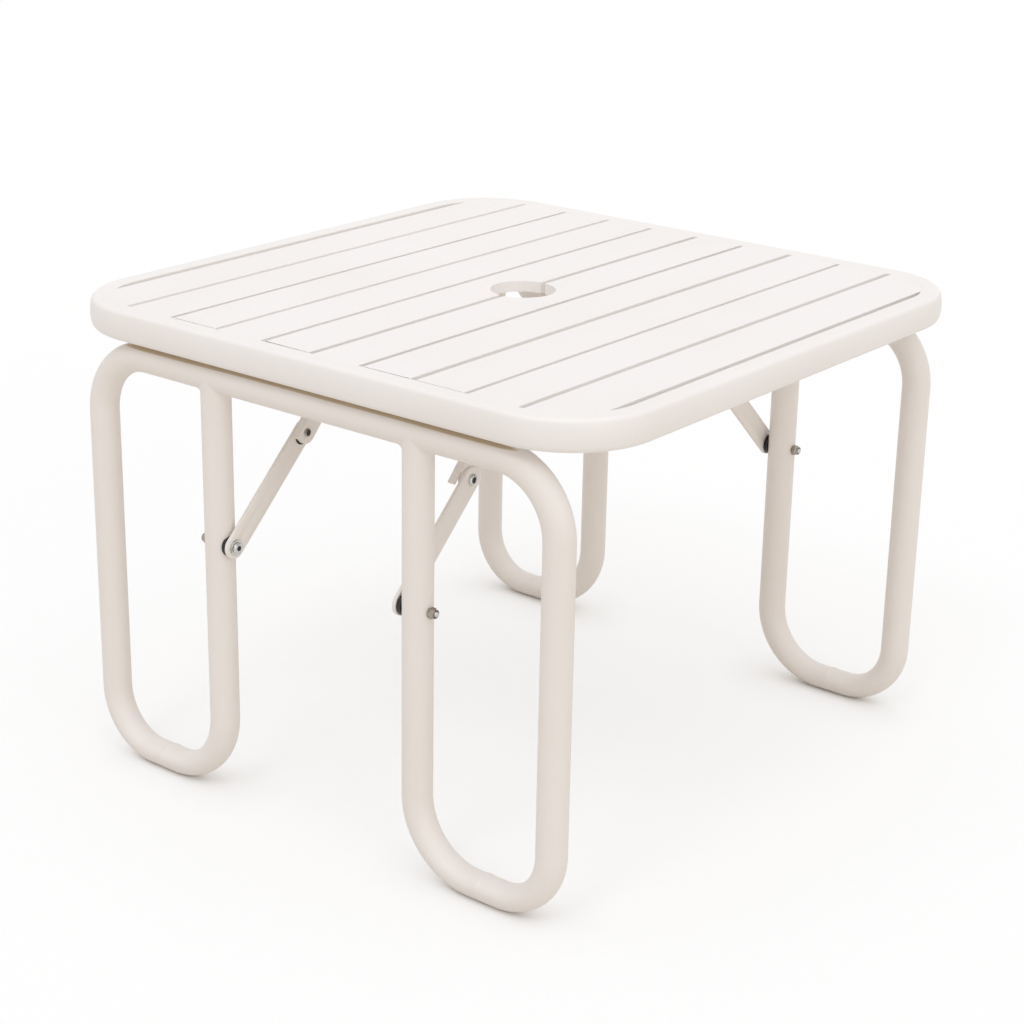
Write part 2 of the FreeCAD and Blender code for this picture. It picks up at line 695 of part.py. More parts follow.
os.makedirs("parts", exist_ok=True)
for node in NODES:
    node.Shape.exportStep(f"parts/{node.Label}.step")
    box = node.Shape.BoundBox
    print(f"{node.Label}: {len(node.Shape.Solids)} solids, {node.Shape.Volume / 1000:.2f} cm3,",
          f"x {box.XMin:.1f}..{box.XMax:.1f} y {box.YMin:.1f}..{box.YMax:.1f} z {box.ZMin:.1f}..{box.ZMax:.1f}")
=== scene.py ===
"""Folding slatted side table: its looks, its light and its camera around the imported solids."""

import logging
import math
from dataclasses import dataclass
from enum import Enum
from typing import Union

import bmesh
import bpy
from mathutils import Matrix, Vector


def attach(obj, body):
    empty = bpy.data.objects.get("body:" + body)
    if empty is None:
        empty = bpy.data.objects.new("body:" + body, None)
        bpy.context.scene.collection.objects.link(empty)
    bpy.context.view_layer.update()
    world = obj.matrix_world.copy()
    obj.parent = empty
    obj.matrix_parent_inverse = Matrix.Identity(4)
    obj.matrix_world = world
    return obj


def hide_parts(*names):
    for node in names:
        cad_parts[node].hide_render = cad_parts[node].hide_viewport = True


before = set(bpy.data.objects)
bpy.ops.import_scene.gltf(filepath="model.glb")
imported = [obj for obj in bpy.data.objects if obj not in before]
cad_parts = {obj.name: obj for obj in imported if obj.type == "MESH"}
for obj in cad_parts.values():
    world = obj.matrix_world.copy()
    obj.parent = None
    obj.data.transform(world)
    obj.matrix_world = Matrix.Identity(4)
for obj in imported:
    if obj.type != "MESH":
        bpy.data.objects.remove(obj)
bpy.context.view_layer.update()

LOG = logging.getLogger("side_table")
MM = 0.001
TUBE_SIDES = 48
TUBE_SHARP = math.radians(40)
BEND_STEP = math.radians(3)
MERGE_REACH = 1e-6
FLAT_ANGLE = math.radians(0.5)
LEAST_BEND_STEPS = 4
Colour = tuple[float, float, float]
Piece = bpy.types.Object
Finish = bpy.types.Material
Mesh = bpy.types.Mesh
Work = bmesh.types.BMesh
Span = tuple[float, float]
Spot = tuple[Vector, int]


class Half(Enum):
    """One of two halves of the table, as the sign of an axis."""

    @property
    def word(self) -> str:
        """The half as it stands in the names of nodes and pieces."""
        return self.name.lower()


class Side(Half):
    """Left or right half of the table, as the sign of X."""

    LEFT = -1
    RIGHT = 1


class Flank(Half):
    """Leg frame A at the front or leg frame B at the back, as the sign of Y."""

    A = -1
    B = 1


class Slot(Enum):
    """Material slots of the record."""

    TUBE = "tube_paint"
    SLAT = "slat_paint"
    STAY = "stay_paint"
    STEEL = "bright_steel"
    BLACK = "spacer_black"


class Ring(Enum):
    """Outline of one ring of a turned or hexagonal fastener."""

    ROUND = 0
    HEX = 6


def linear(red: int, green: int, blue: int) -> Colour:
    """Turns a screen colour into the linear colour that shaders take.

    Args:
        red: Red from 0 to 255.
        green: Green from 0 to 255.
        blue: Blue from 0 to 255.

    Returns:
        The linear colour.
    """
    parts = [part / 255 for part in (red, green, blue)]
    return tuple(p / 12.92 if p <= 0.04045 else ((p + 0.055) / 1.055) ** 2.4 for p in parts)


class Signal:
    """A node socket that takes part in Python arithmetic."""

    def __init__(self, bench: "Bench", socket: bpy.types.NodeSocket) -> None:
        """Keeps the socket and the bench that its sums are added to."""
        self.bench = bench
        self.socket = socket

    def maths(self, operation: str, *terms: "Number") -> "Signal":
        """Adds one Math node.

        Args:
            operation: The node's operation.
            terms: Its values or signals, in the node's order.

        Returns:
            The result of the node.
        """
        return self.bench.get("ShaderNodeMath", {"operation": operation}, dict(enumerate(terms)))

    def __add__(self, other: "Number") -> "Signal":
        """Sum of two signals."""
        return self.maths("ADD", self, other)

    def __radd__(self, other: "Number") -> "Signal":
        """Sum with a number on the left."""
        return self.maths("ADD", other, self)

    def __sub__(self, other: "Number") -> "Signal":
        """Difference of two signals."""
        return self.maths("SUBTRACT", self, other)

    def __rsub__(self, other: "Number") -> "Signal":
        """Difference with a number on the left."""
        return self.maths("SUBTRACT", other, self)

    def __mul__(self, other: "Number") -> "Signal":
        """Product of two signals."""
        return self.maths("MULTIPLY", self, other)

    def __rmul__(self, other: "Number") -> "Signal":
        """Product with a number on the left."""
        return self.maths("MULTIPLY", other, self)

    def __pow__(self, other: "Number") -> "Signal":
        """Power of a signal."""
        return self.maths("POWER", self, other)

    def __abs__(self) -> "Signal":
        """Size of a signal without its sign."""
        return self.maths("ABSOLUTE", self)

    def floor_at(self, low: "Number") -> "Signal":
        """The larger of the signal and a lower bound."""
        return self.maths("MAXIMUM", self, low)

    def step(self, low: float, high: float) -> "Signal":
        """Adds a smooth ramp from 0 at low to 1 at high.

        Args:
            low: Value where the ramp leaves 0.
            high: Value where the ramp reaches 1.

        Returns:
            The ramp's value.
        """
        sockets = {"Value": self, "From Min": low, "From Max": high}
        return self.bench.get("ShaderNodeMapRange", {"interpolation_type": "SMOOTHSTEP"}, sockets)


Number = Union[Signal, float]


class Bench:
    """A node tree under construction."""

    def __init__(self, tree: bpy.types.NodeTree) -> None:
        """Keeps the tree."""
        self.tree = tree

    def feed(self, socket: bpy.types.NodeSocket, value: object) -> None:
        """Links a socket to a signal, or sets its value.

        Args:
            socket: Input to feed.
            value: A signal, an output socket or a plain value.
        """
        if isinstance(value, Signal):
            self.tree.links.new(value.socket, socket)
        elif isinstance(value, bpy.types.NodeSocket):
            self.tree.links.new(value, socket)
        else:
            socket.default_value = value

    def add(self, kind: str, settings: dict, sockets: dict) -> bpy.types.Node:
        """Adds any node.

        Args:
            kind: The node's type.
            settings: Its own settings, set first.
            sockets: Values or links by socket name or number.

        Returns:
            The node.
        """
        node = self.tree.nodes.new(kind)
        for name, value in settings.items():
            setattr(node, name, value)
        for key, value in sockets.items():
            self.feed(node.inputs[key], value)
        return node

    def get(self, kind: str, settings: dict, sockets: dict, output: Union[int, str] = 0) -> Signal:
        """Adds any node and gives one of its outputs.

        Args:
            kind: The node's type.
            settings: Its own settings.
            sockets: Values or links by socket name or number.
            output: Name or number of the output.

        Returns:
            The output as a signal.
        """
        return Signal(self, self.add(kind, settings, sockets).outputs[output])

    def mix(self, share: Number, first: object, second: object) -> Signal:
        """Mixes two colours.

        Args:
            share: Share of the second colour.
            first: Colour or signal at 0.
            second: Colour or signal at 1.

        Returns:
            The mixed colour.
        """
        pair = [(*c, 1.0) if isinstance(c, tuple) else c for c in (first, second)]
        return self.get("ShaderNodeMix", {"data_type": "RGBA"}, {0: share, 6: pair[0], 7: pair[1]}, 2)


class Coat(Bench):
    """The node tree of one surface, with the textures that the finishes share."""

    def __init__(self, label: str) -> None:
        """Starts an empty material."""
        self.material = bpy.data.materials.new(label)
        self.material.use_nodes = True
        super().__init__(self.material.node_tree)
        self.tree.nodes.clear()
        self.place = self.get("ShaderNodeTexCoord", {}, {}, "Object")

    def noise(self, per_metre: float, detail: float = 2.0, stretch: Colour = (1.0, 1.0, 1.0)) -> Signal:
        """Adds a noise on Object coordinates.

        Args:
            per_metre: Grains per metre.
            detail: Octaves of finer grain.
            stretch: Scale of the coordinates along each axis.

        Returns:
            The noise from 0 to 1.
        """
        spot = self.get("ShaderNodeMapping", {}, {"Vector": self.place, "Scale": stretch})
        sockets = {"Vector": spot, "Scale": per_metre, "Detail": detail}
        return self.get("ShaderNodeTexNoise", {}, sockets, "Fac")

    def specks(self, per_metre: float, reach: float) -> Signal:
        """Adds scattered small spots.

        Args:
            per_metre: Cells per metre.
            reach: Radius of a spot as a share of its cell.

        Returns:
            1 in a spot and 0 elsewhere.
        """
        sockets = {"Vector": self.place, "Scale": per_metre}
        near = self.get("ShaderNodeTexVoronoi", {}, sockets, "Distance")
        return 1.0 - near.step(reach * 0.6, reach)

    def axes(self) -> list[Signal]:
        """The three Object coordinates in metres."""
        split = self.add("ShaderNodeSeparateXYZ", {}, {"Vector": self.place})
        return [Signal(self, split.outputs[axis]) for axis in "XYZ"]

    def close(self, bump: Signal, strength: float, rise: float, sockets: dict) -> Finish:
        """Ends the tree in a shader.

        Args:
            bump: Relief from 0 to 1.
            strength: How much of the relief shows.
            rise: Depth of the relief in metres.
            sockets: Values or links of the shader.

        Returns:
            The finished material.
        """
        relief = {"Strength": strength, "Distance": rise, "Height": bump}
        sockets["Normal"] = self.get("ShaderNodeBump", {}, relief, "Normal")
        shader = self.add("ShaderNodeBsdfPrincipled", {}, sockets)
        self.add("ShaderNodeOutputMaterial", {}, {"Surface": shader.outputs[0]})
        return self.material


@dataclass(frozen=True)
class PowderCoat:
    """Baked powder paint: orange peel, fine grain, faint clouds and rare small specks.

    A band of painted shade, the tan shadow that the rail casts on the bar's top, lies above a height
    and outside a distance from the middle plane, both in metres. By default the height is far above
    the table, so that no shade is painted. Scales are in grains per metre.
    """

    label: str
    colour: Colour
    shade: Colour
    roughness: float
    # Painted shade band: its heights, its sides, the wander of its edge and its tan colour.
    dirt: Span = (9.0, 9.1)
    dirt_side: Span = (0.2805, 0.2845)
    dirt_wander: float = 0.002
    soil: Colour = linear(190, 168, 134)
    speck: Colour = linear(120, 98, 76)
    speck_scale: float = 11.0
    speck_size: float = 0.02
    speck_group_scale: float = 23.0
    grain_scale: float = 2100.0
    fine_scale: float = 950.0
    cloud_scale: float = 6.5
    peel_scale: float = 430.0
    peel: float = 0.3
    peel_depth: float = 0.4 * MM

    def material(self) -> Finish:
        """Builds the paint.

        Returns:
            The material.
        """
        coat = Coat(self.label)
        grain = coat.noise(self.grain_scale, 1.0)
        peel = coat.noise(self.peel_scale)
        cloud = coat.noise(self.cloud_scale, 4.0)
        fine = coat.noise(self.fine_scale)
        specks = coat.specks(self.speck_scale, self.speck_size)
        spots = specks * coat.noise(self.speck_group_scale, 1.0).step(0.5, 0.6)
        tone = coat.mix(cloud.step(0.3, 0.75) * 0.4 + fine.step(0.35, 0.8) * 0.2, self.colour, self.shade)
        _, away, height = coat.axes()
        # Painted shade: a tan band on the bar's top under the rail, where the rail's shadow falls.
        line = height + (cloud - 0.5) * self.dirt_wander
        shade_band = line.step(*self.dirt) * abs(away).step(*self.dirt_side)
        with_painted_shade = coat.mix(shade_band * 0.9, tone, self.soil)
        worn = coat.mix(spots * 0.6, with_painted_shade, self.speck)
        gloss = self.roughness + (cloud - 0.5) * 0.16 + (fine - 0.5) * 0.12
        relief = peel * 0.6 + grain * 0.4
        return coat.close(relief, self.peel, self.peel_depth, {"Base Color": worn, "Roughness": gloss})


@dataclass(frozen=True)
class PlatedSteel:
    """Bright zinc plate with fine turning marks and a little tarnish."""

    label: str
    colour: Colour
    tarnish: Colour
    roughness: float
    mark_scale: float = 900.0
    mark_stretch: Colour = (0.25, 1.0, 1.0)
    cloud_scale: float = 140.0
    mark: float = 0.15
    mark_depth: float = 0.2 * MM

    def material(self) -> Finish:
        """Builds the plated steel.

        Returns:
            The material.
        """
        coat = Coat(self.label)
        streak = coat.noise(self.mark_scale, 3.0, self.mark_stretch)
        cloud = coat.noise(self.cloud_scale, 3.0)
        tone = coat.mix(cloud.step(0.45, 0.75) * 0.6, self.colour, self.tarnish)
        gloss = self.roughness + streak * 0.12 + cloud * 0.14
        sockets = {"Base Color": tone, "Roughness": gloss, "Metallic": 1.0}
        return coat.close(streak, self.mark, self.mark_depth, sockets)


@dataclass(frozen=True)
class MouldedPlastic:
    """Black moulded spacer with a matte skin and dust on it."""

    label: str
    colour: Colour
    dust: Colour
    roughness: float
    grain_scale: float = 1600.0
    cloud_scale: float = 180.0
    grain: float = 0.25
    grain_depth: float = 0.2 * MM

    def material(self) -> Finish:
        """Builds the plastic.

        Returns:
            The material.
        """
        coat = Coat(self.label)
        grain = coat.noise(self.grain_scale)
        cloud = coat.noise(self.cloud_scale, 3.0)
        tone = coat.mix(cloud.step(0.5, 0.85) * 0.5, self.colour, self.dust)
        gloss = self.roughness + (grain - 0.5) * 0.2
        sockets = {"Base Color": tone, "Roughness": gloss}
        return coat.close(grain, self.grain, self.grain_depth, sockets)


def poured(work: Work, mesh: Mesh) -> Mesh:
    """Writes worked geometry into a mesh and lets go of it.

    Args:
        work: The geometry.
        mesh: The mesh that takes it.

    Returns:
        The same mesh.
    """
    work.to_mesh(mesh)
    work.free()
    return mesh


def linked(name: str, mesh: Mesh) -> Piece:
    """Puts a mesh into the scene.

    Args:
        name: Name of the object.
        mesh: Its mesh.

    Returns:
        The object.
    """
    piece = bpy.data.objects.new(name, mesh)
    bpy.context.scene.collection.objects.link(piece)
    return piece


def settled(piece: Piece) -> Piece:
    """Turns the result of an object's modifiers into its plain mesh.

    Args:
        piece: Object with modifiers.

    Returns:
        The same object, with no modifiers left.
    """
    graph = bpy.context.evaluated_depsgraph_get()
    mesh = bpy.data.meshes.new_from_object(piece.evaluated_get(graph))
    piece.modifiers.clear()
    piece.data = mesh
    mesh.name = piece.name
    return piece


def bevelled(piece: Piece, width: float, steps: int, angle: float) -> Piece:
    """Rounds an object's sharp edges.

    Args:
        piece: Object to round.
        width: Width of the rounding in metres.
        steps: Faces across the rounding.
        angle: Smallest angle of a sharp edge in degrees.

    Returns:
        The object, shaded smooth.
    """
    edge = piece.modifiers.new("edges", "BEVEL")
    edge.width = width
    edge.segments = steps
    edge.limit_method = "ANGLE"
    edge.angle_limit = math.radians(angle)
    edge.use_clamp_overlap = True
    settled(piece)
    piece.data.shade_smooth()
    piece.data.set_sharp_from_angle(angle=math.radians(angle))
    return piece


def mounted(piece: Piece, body: str, slot: Slot, *nodes: str) -> Piece:
    """Sets a finished piece on its body in place of solids.

    Args:
        piece: The piece.
        body: Name of the body that it rides on.
        slot: Its material slot in the record.
        nodes: Nodes that it stands for.

    Returns:
        The piece.
    """
    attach(piece, body)
    if nodes:
        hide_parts(*nodes)
    LOG.info("%s on %s, %d faces", piece.name, body, len(piece.data.polygons))
    return piece


def softened(name: str, node: str, finish: Finish, width: float) -> Piece:
    """Copies a solid's mesh, merges it and rounds its edges.

    Args:
        name: Name of the new piece.
        node: Node to copy.
        finish: Its material.
        width: Width of the rounding in metres.

    Returns:
        The new piece.
    """
    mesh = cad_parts[node].data.copy()
    work = bmesh.new()
    work.from_mesh(mesh)
    bmesh.ops.remove_doubles(work, verts=work.verts, dist=MERGE_REACH)
    bmesh.ops.dissolve_limit(work, angle_limit=FLAT_ANGLE, verts=work.verts, edges=work.edges)
    poured(work, mesh)
    mesh.materials.clear()
    mesh.materials.append(finish)
    return bevelled(linked(name, mesh), width, steps=2, angle=32.0)


class Plan(Bench):
    """A Geometry Nodes tree with named inputs for its sizes."""

    def __init__(self, label: str) -> None:
        """Starts a tree that takes and gives geometry."""
        super().__init__(bpy.data.node_groups.new(label, "GeometryNodeTree"))
        self.names: dict[str, str] = {}
        for way in ("INPUT", "OUTPUT"):
            self.tree.interface.new_socket("Geometry", in_out=way, socket_type="NodeSocketGeometry")
        self.start = self.tree.nodes.new("NodeGroupInput")
        self.end = self.tree.nodes.new("NodeGroupOutput")

    def ask(self, name: str, kind: str) -> Signal:
        """Adds a named input.

        Args:
            name: Name of the input.
            kind: Last part of its socket type.

        Returns:
            The input inside the tree.
        """
        item = self.tree.interface.new_socket(name, in_out="INPUT", socket_type=f"NodeSocket{kind}")
        self.names[name] = item.identifier
        return Signal(self, self.start.outputs[name])

    def attribute(self, name: str, kind: str) -> Signal:
        """Reads a named attribute of the geometry."""
        return self.get("GeometryNodeInputNamedAttribute", {"data_type": kind}, {"Name": name})

    def vector(
        self, operation: str, *terms: Signal, scale: Number = 1.0, output: str = "Vector"
    ) -> Signal:
        """Adds one Vector Math node.

        Args:
            operation: The node's operation.
            terms: Its vectors, in the node's order.
            scale: Its factor, where the operation has one.
            output: Name of the output.

        Returns:
            The result of the node.
        """
        sockets = dict(enumerate(terms))
        if operation == "SCALE":
            sockets["Scale"] = scale
        return self.get("ShaderNodeVectorMath", {"operation": operation}, sockets, output)

    def close(self, shape: Signal, finish: Signal) -> None:
        """Realises what the tree made, sets its material and gives it out.

        Args:
            shape: Geometry to give out.
            finish: Material input.
        """
        real = self.get("GeometryNodeRealizeInstances", {}, {"Geometry": shape})
        skin = self.get("GeometryNodeSetMaterial", {}, {"Geometry": real, "Material": finish})
        self.feed(self.end.inputs[0], skin)

    def run(self, name: str, seed: Mesh, values: dict) -> Piece:
        """Grows a piece from a mesh of points or lines.

        Args:
            name: Name of the piece.
            seed: Points or lines that the tree starts from.
            values: Input values by name.

        Returns:
            The piece as a plain mesh.
        """
        piece = linked(name, seed)
        growth = piece.modifiers.new("plan", "NODES")
        growth.node_group = self.tree
        for key, value in values.items():
            growth[self.names[key]] = value
        return settled(piece)


class TubePlan(Plan):
    """Tube of any section along a bent line, swollen and pinched as the line's points say."""

    def __init__(self) -> None:
        """Builds the tree."""
        super().__init__("bent_tube")
        section = self.ask("Section", "Object")
        finish = self.ask("Finish", "Material")
        line = self.get("GeometryNodeMeshToCurve", {}, {"Mesh": self.start.outputs["Geometry"]})
        shape = self.get("GeometryNodeObjectInfo", {}, {"Object": section}, "Geometry")
        ring = self.get("GeometryNodeMeshToCurve", {}, {"Mesh": shape})
        sockets = {"Curve": line, "Profile Curve": ring, "Fill Caps": True}
        skin = self.get("GeometryNodeCurveToMesh", {}, sockets)
        spine, heel, pinch = [self.attribute(name, "FLOAT_VECTOR") for name in ("spine", "heel", "pinch")]
        place = self.get("GeometryNodeInputPosition", {}, {})
        spoke = self.vector("SUBTRACT", place, spine)
        grown = self.vector("SUBTRACT", place, heel)
        swell = self.vector("SCALE", grown, scale=self.attribute("gain", "FLOAT"))
        inner = self.vector("DOT_PRODUCT", spoke, pinch, output="Value").floor_at(0.0)
        shift = self.vector("SUBTRACT", swell, self.vector("SCALE", pinch, scale=inner))
        formed = self.get("GeometryNodeSetPosition", {}, {"Geometry": skin, "Offset": shift})
        self.close(self.get("GeometryNodeSetShadeSmooth", {}, {"Geometry": formed}), finish)


class SlatPlan(Plan):
    """Row of flat slats whose ends follow the rail, with a round hole through the middle."""

    def __init__(self) -> None:
        """Builds the tree."""
        super().__init__("slat_field")
        width = self.ask("Width", "Float")
        thick = self.ask("Thickness", "Float")
        straight = self.ask("Straight half", "Float")
        bend = self.ask("End bend", "Float")
        hole = self.ask("Hole radius", "Float")
        finish = self.ask("Finish", "Material")
        sheet = {"Size X": width, "Size Y": 2.0, "Vertices X": 29, "Vertices Y": 2}
        blank = self.get("GeometryNodeMeshGrid", {}, sheet)
        stretch = self.attribute("stretch", "FLOAT_VECTOR")
        row = {"Points": self.start.outputs["Geometry"], "Instance": blank, "Scale": stretch}
        spread = self.get("GeometryNodeInstanceOnPoints", {}, row)
        field = self.get("GeometryNodeRealizeInstances", {}, {"Geometry": spread})
        spot = self.add("ShaderNodeSeparateXYZ", {}, {0: self.get("GeometryNodeInputPosition", {}, {})})
        across, along, level = [Signal(self, spot.outputs[axis]) for axis in "XYZ"]
        past = (abs(across) - straight).floor_at(0.0)
        round_end = (bend * bend - past * past).floor_at(0.0) ** 0.5
        reach = along * (straight + round_end)
        moved = self.get("ShaderNodeCombineXYZ", {}, {"X": across, "Y": reach, "Z": level})
        shaped = self.get("GeometryNodeSetPosition", {}, {"Geometry": field, "Position": moved})
        up = self.get("ShaderNodeCombineXYZ", {}, {"Z": thick})
        risen = {"Mesh": shaped, "Offset": up, "Offset Scale": 1.0, "Individual": False}
        tops = self.get("GeometryNodeExtrudeMesh", {"mode": "FACES"}, risen)
        under = self.get("GeometryNodeFlipFaces", {}, {"Mesh": shaped})
        both = self.add("GeometryNodeJoinGeometry", {}, {})
        for part in (under, tops):
            self.feed(both.inputs[0], part)
        sealed = {"Geometry": both.outputs[0], "Distance": 0.00001}
        solid = self.get("GeometryNodeMergeByDistance", {}, sealed)
        drill = self.get("GeometryNodeMeshCylinder", {}, {"Vertices": 96, "Radius": hole, "Depth": 2.0})
        cut = {"Mesh 1": solid, "Mesh 2": drill}
        drilled = self.get("GeometryNodeMeshBoolean", {"operation": "DIFFERENCE"}, cut)
        self.close(drilled, finish)


class PinPlan(Plan):
    """The same fastener on every point, turned as the point says."""

    def __init__(self) -> None:
        """Builds the tree."""
        super().__init__("fasteners")
        shape = self.ask("Shape", "Object")
        finish = self.ask("Finish", "Material")
        model = self.get("GeometryNodeObjectInfo", {}, {"Object": shape}, "Geometry")
        turn = self.get("FunctionNodeEulerToRotation", {}, {0: self.attribute("turn", "FLOAT_VECTOR")})
        row = {"Points": self.start.outputs["Geometry"], "Instance": model, "Rotation": turn}
        self.close(self.get("GeometryNodeInstanceOnPoints", {}, row), finish)


@dataclass
class Station:
    """One ring of a bent tube, in metres.

    The pinch points to the side that a bend has flattened. A ring with a gain is larger by that
    share, scaled about its heel.
    """

    middle: Vector
    pinch: Vector = Vector()
    heel: Vector = Vector()
    gain: float = 0.0


def line_mesh(name: str, stations: list[Station], closed: bool) -> Mesh:
    """Makes a mesh of one line, with what each ring does as attributes.

    Args:
        name: Name of the mesh.
        stations: Rings along the line in order.
        closed: Whether the last ring joins the first.

    Returns:
        The mesh.
    """
    mesh = bpy.data.meshes.new(name)
    count = len(stations)
    edges = [(i, (i + 1) % count) for i in range(count if closed else count - 1)]
    mesh.from_pydata([ring.middle for ring in stations], edges, [])
    for key, part in (("spine", "middle"), ("heel", "heel"), ("pinch", "pinch")):
        store = mesh.attributes.new(key, "FLOAT_VECTOR", "POINT")
        for k, ring in enumerate(stations):
            store.data[k].vector = getattr(ring, part)
    gains = mesh.attributes.new("gain", "FLOAT", "POINT")
    for k, ring in enumerate(stations):
        gains.data[k].value = ring.gain
    return mesh


def bent(
    corners: list[Vector], radii: list[float], closed: bool, flat: dict[int, float]
) -> list[Station]:
    """Rounds the corners of a bent tube's centre line.

    Args:
        corners: Corners of the line.
        radii: Bend radius at each corner, 0 at a sharp end.
        closed: Whether the line is a loop.
        flat: Corners whose bend is flattened on its inner side from the low end on, with the share.

    Returns:
        The rings along the line.
    """
    stations = []
    count = len(corners)
    for i, (corner, radius) in enumerate(zip(corners, radii)):
        if radius == 0.0 or (not closed and i in (0, count - 1)):
            stations.append(Station(corner))
            continue
        ahead = (corners[(i + 1) % count] - corner).normalized()
        back = (corner - corners[i - 1]).normalized()
        angle = back.angle(ahead)
        inward = (ahead - back * math.cos(angle)) / math.sin(angle)
        start = corner - back * (radius * math.tan(angle / 2))
        steps = max(LEAST_BEND_STEPS, round(angle / BEND_STEP))
        for k in range(steps + 1):
            swing = angle * k / steps
            middle = start + back * (radius * math.sin(swing)) + inward * (radius * (1 - math.cos(swing)))
            low = abs(back.z) > 0.5
            share = (k if low else steps - k) / steps
            depth = math.sqrt(flat.get(i, 0.0) * share * share * (3 - 2 * share))
            stations.append(Station(middle, (inward * math.cos(swing) - back * math.sin(swing)) * depth))
    return stations


def section(name: str, points: list[Vector]) -> Piece:
    """Makes the closed section of a tube.

    Args:
        name: Name of the section.
        points: Points round it.

    Returns:
        An object that is not in the scene.
    """
    mesh = bpy.data.meshes.new(name)
    mesh.from_pydata(points, [(i, (i + 1) % len(points)) for i in range(len(points))], [])
    return bpy.data.objects.new(name, mesh)


def faced_out(piece: Piece) -> Piece:
    """Turns the faces of a closed piece outward.

    Args:
        piece: The piece.

    Returns:
        The same piece.
    """
    work = bmesh.new()
    work.from_mesh(piece.data)
    if work.calc_volume(signed=True) < 0.0:
        bmesh.ops.reverse_faces(work, faces=work.faces)
    poured(work, piece.data)
    return piece


@dataclass(frozen=True)
class Turned:
    """A small turned or hexagonal fastener about its own Z axis, sizes in millimetres.

    The rings follow its skin. A corner cut says how far the corners of a hexagon stand out, as a
    share of half its width across flats.
    """

    label: str
    rings: tuple[tuple[float, float, Ring], ...]
    looped: bool = False
    sides: int = 48
    corner_cut: float = 1.13
    sharp: float = 38.0

    def outline(self, radius: float, kind: Ring) -> list[tuple[float, float]]:
        """Points of one ring.

        Args:
            radius: Radius, or half the width across flats.
            kind: Round or hexagonal.

        Returns:
            The points as X and Y.
        """
        points = []
        for k in range(self.sides):
            angle = 2 * math.pi * k / self.sides
            reach = radius
            if kind is Ring.HEX:
                reach = radius / math.cos((angle + math.pi / 6) % (math.pi / 3) - math.pi / 6)
                reach = min(reach, radius * self.corner_cut)
            points.append((reach * math.cos(angle), reach * math.sin(angle)))
        return points

    def shape(self) -> Piece:
        """Builds the pattern that the fastener's tree repeats.

        Returns:
            An object that is not in the scene.
        """
        work = bmesh.new()
        loops = []
        for level, radius, kind in self.rings:
            if radius == 0.0:
                loops.append([work.verts.new((0.0, 0.0, level * MM))])
            else:
                ring = self.outline(radius, kind)
                loops.append([work.verts.new((x * MM, y * MM, level * MM)) for x, y in ring])
        pairs = list(zip(loops, loops[1:]))
        if self.looped:
            pairs.append((loops[-1], loops[0]))
        for below, above in pairs:
            for k in range(self.sides):
                n = (k + 1) % self.sides
                lower = [below[k % len(below)], below[n % len(below)]]
                upper = [above[n % len(above)], above[k % len(above)]]
                work.faces.new(list(dict.fromkeys(lower + upper)))
        bmesh.ops.recalc_face_normals(work, faces=work.faces)
        mesh = poured(work, bpy.data.meshes.new(self.label))
        mesh.shade_smooth()
        mesh.set_sharp_from_angle(angle=math.radians(self.sharp))
        return bpy.data.objects.new(self.label, mesh)


def rings(kind: Ring, *pairs: Span) -> tuple[tuple[float, float, Ring], ...]:
    """Lists rings that share one outline.

    Args:
        kind: Round or hexagonal.
        pairs: Level and radius of each ring in millimetres.

    Returns:
        The rings as a fastener takes them.
    """
    return tuple((level, radius, kind) for level, radius in pairs)


BOLT = Turned(
    "bolt_pattern",
    rings(Ring.ROUND, (-42.5, 0.0), (-42.45, 1.0), (-42.2, 1.7), (-41.7, 2.25), (-41.2, 2.6))
    + rings(Ring.ROUND, (0.0, 2.7), (0.0, 4.9), (0.3, 5.1), (1.0, 5.0), (1.7, 4.6))
    + rings(Ring.ROUND, (2.2, 3.9), (2.5, 3.2), (2.6, 2.75))
    + rings(Ring.HEX, (2.5, 2.3), (0.9, 2.2))
    + rings(Ring.ROUND, (0.6, 0.0)),
)
LOCK_NUT = Turned(
    "lock_nut_pattern",
    rings(Ring.ROUND, (0.0, 0.0), (0.0, 4.2))
    + rings(Ring.HEX, (0.4, 4.4), (4.0, 4.4))
    + rings(Ring.ROUND, (4.5, 4.2), (4.7, 3.95), (6.2, 3.95), (6.45, 3.75), (6.45, 3.5))
    + rings(Ring.ROUND, (5.8, 3.4), (5.8, 0.0)),
)
# Black plug in the hex recess of a bolt or rivet head: painted shade in the recess.
RECESS_SHADE = Turned(
    "socket_pattern",
    rings(Ring.ROUND, (0.5, 0.0))
    + rings(Ring.HEX, (0.5, 2.35), (1.5, 2.45), (1.75, 2.2))
    + rings(Ring.ROUND, (1.6, 0.0)),
)
NUT_RING = Turned(
    "nut_ring_pattern",
    rings(Ring.ROUND, (5.6, 2.5), (5.6, 3.42), (6.3, 3.42), (6.5, 3.2), (6.45, 2.8), (6.3, 2.55)),
    looped=True,
)
WASHER = Turned(
    "washer_pattern",
    rings(Ring.ROUND, (0.0, 3.2), (0.0, 6.8), (0.2, 7.0), (1.0, 7.0), (1.2, 6.8), (1.2, 3.4), (1.0, 3.2)),
    looped=True,
)
SPACER = Turned(
    "spacer_pattern",
    rings(Ring.ROUND, (0.0, 3.2), (0.0, 9.0), (0.15, 9.3), (0.5, 9.5))
    + rings(Ring.ROUND, (4.2, 9.5), (4.5, 9.2), (4.5, 3.2)),
    looped=True,
)
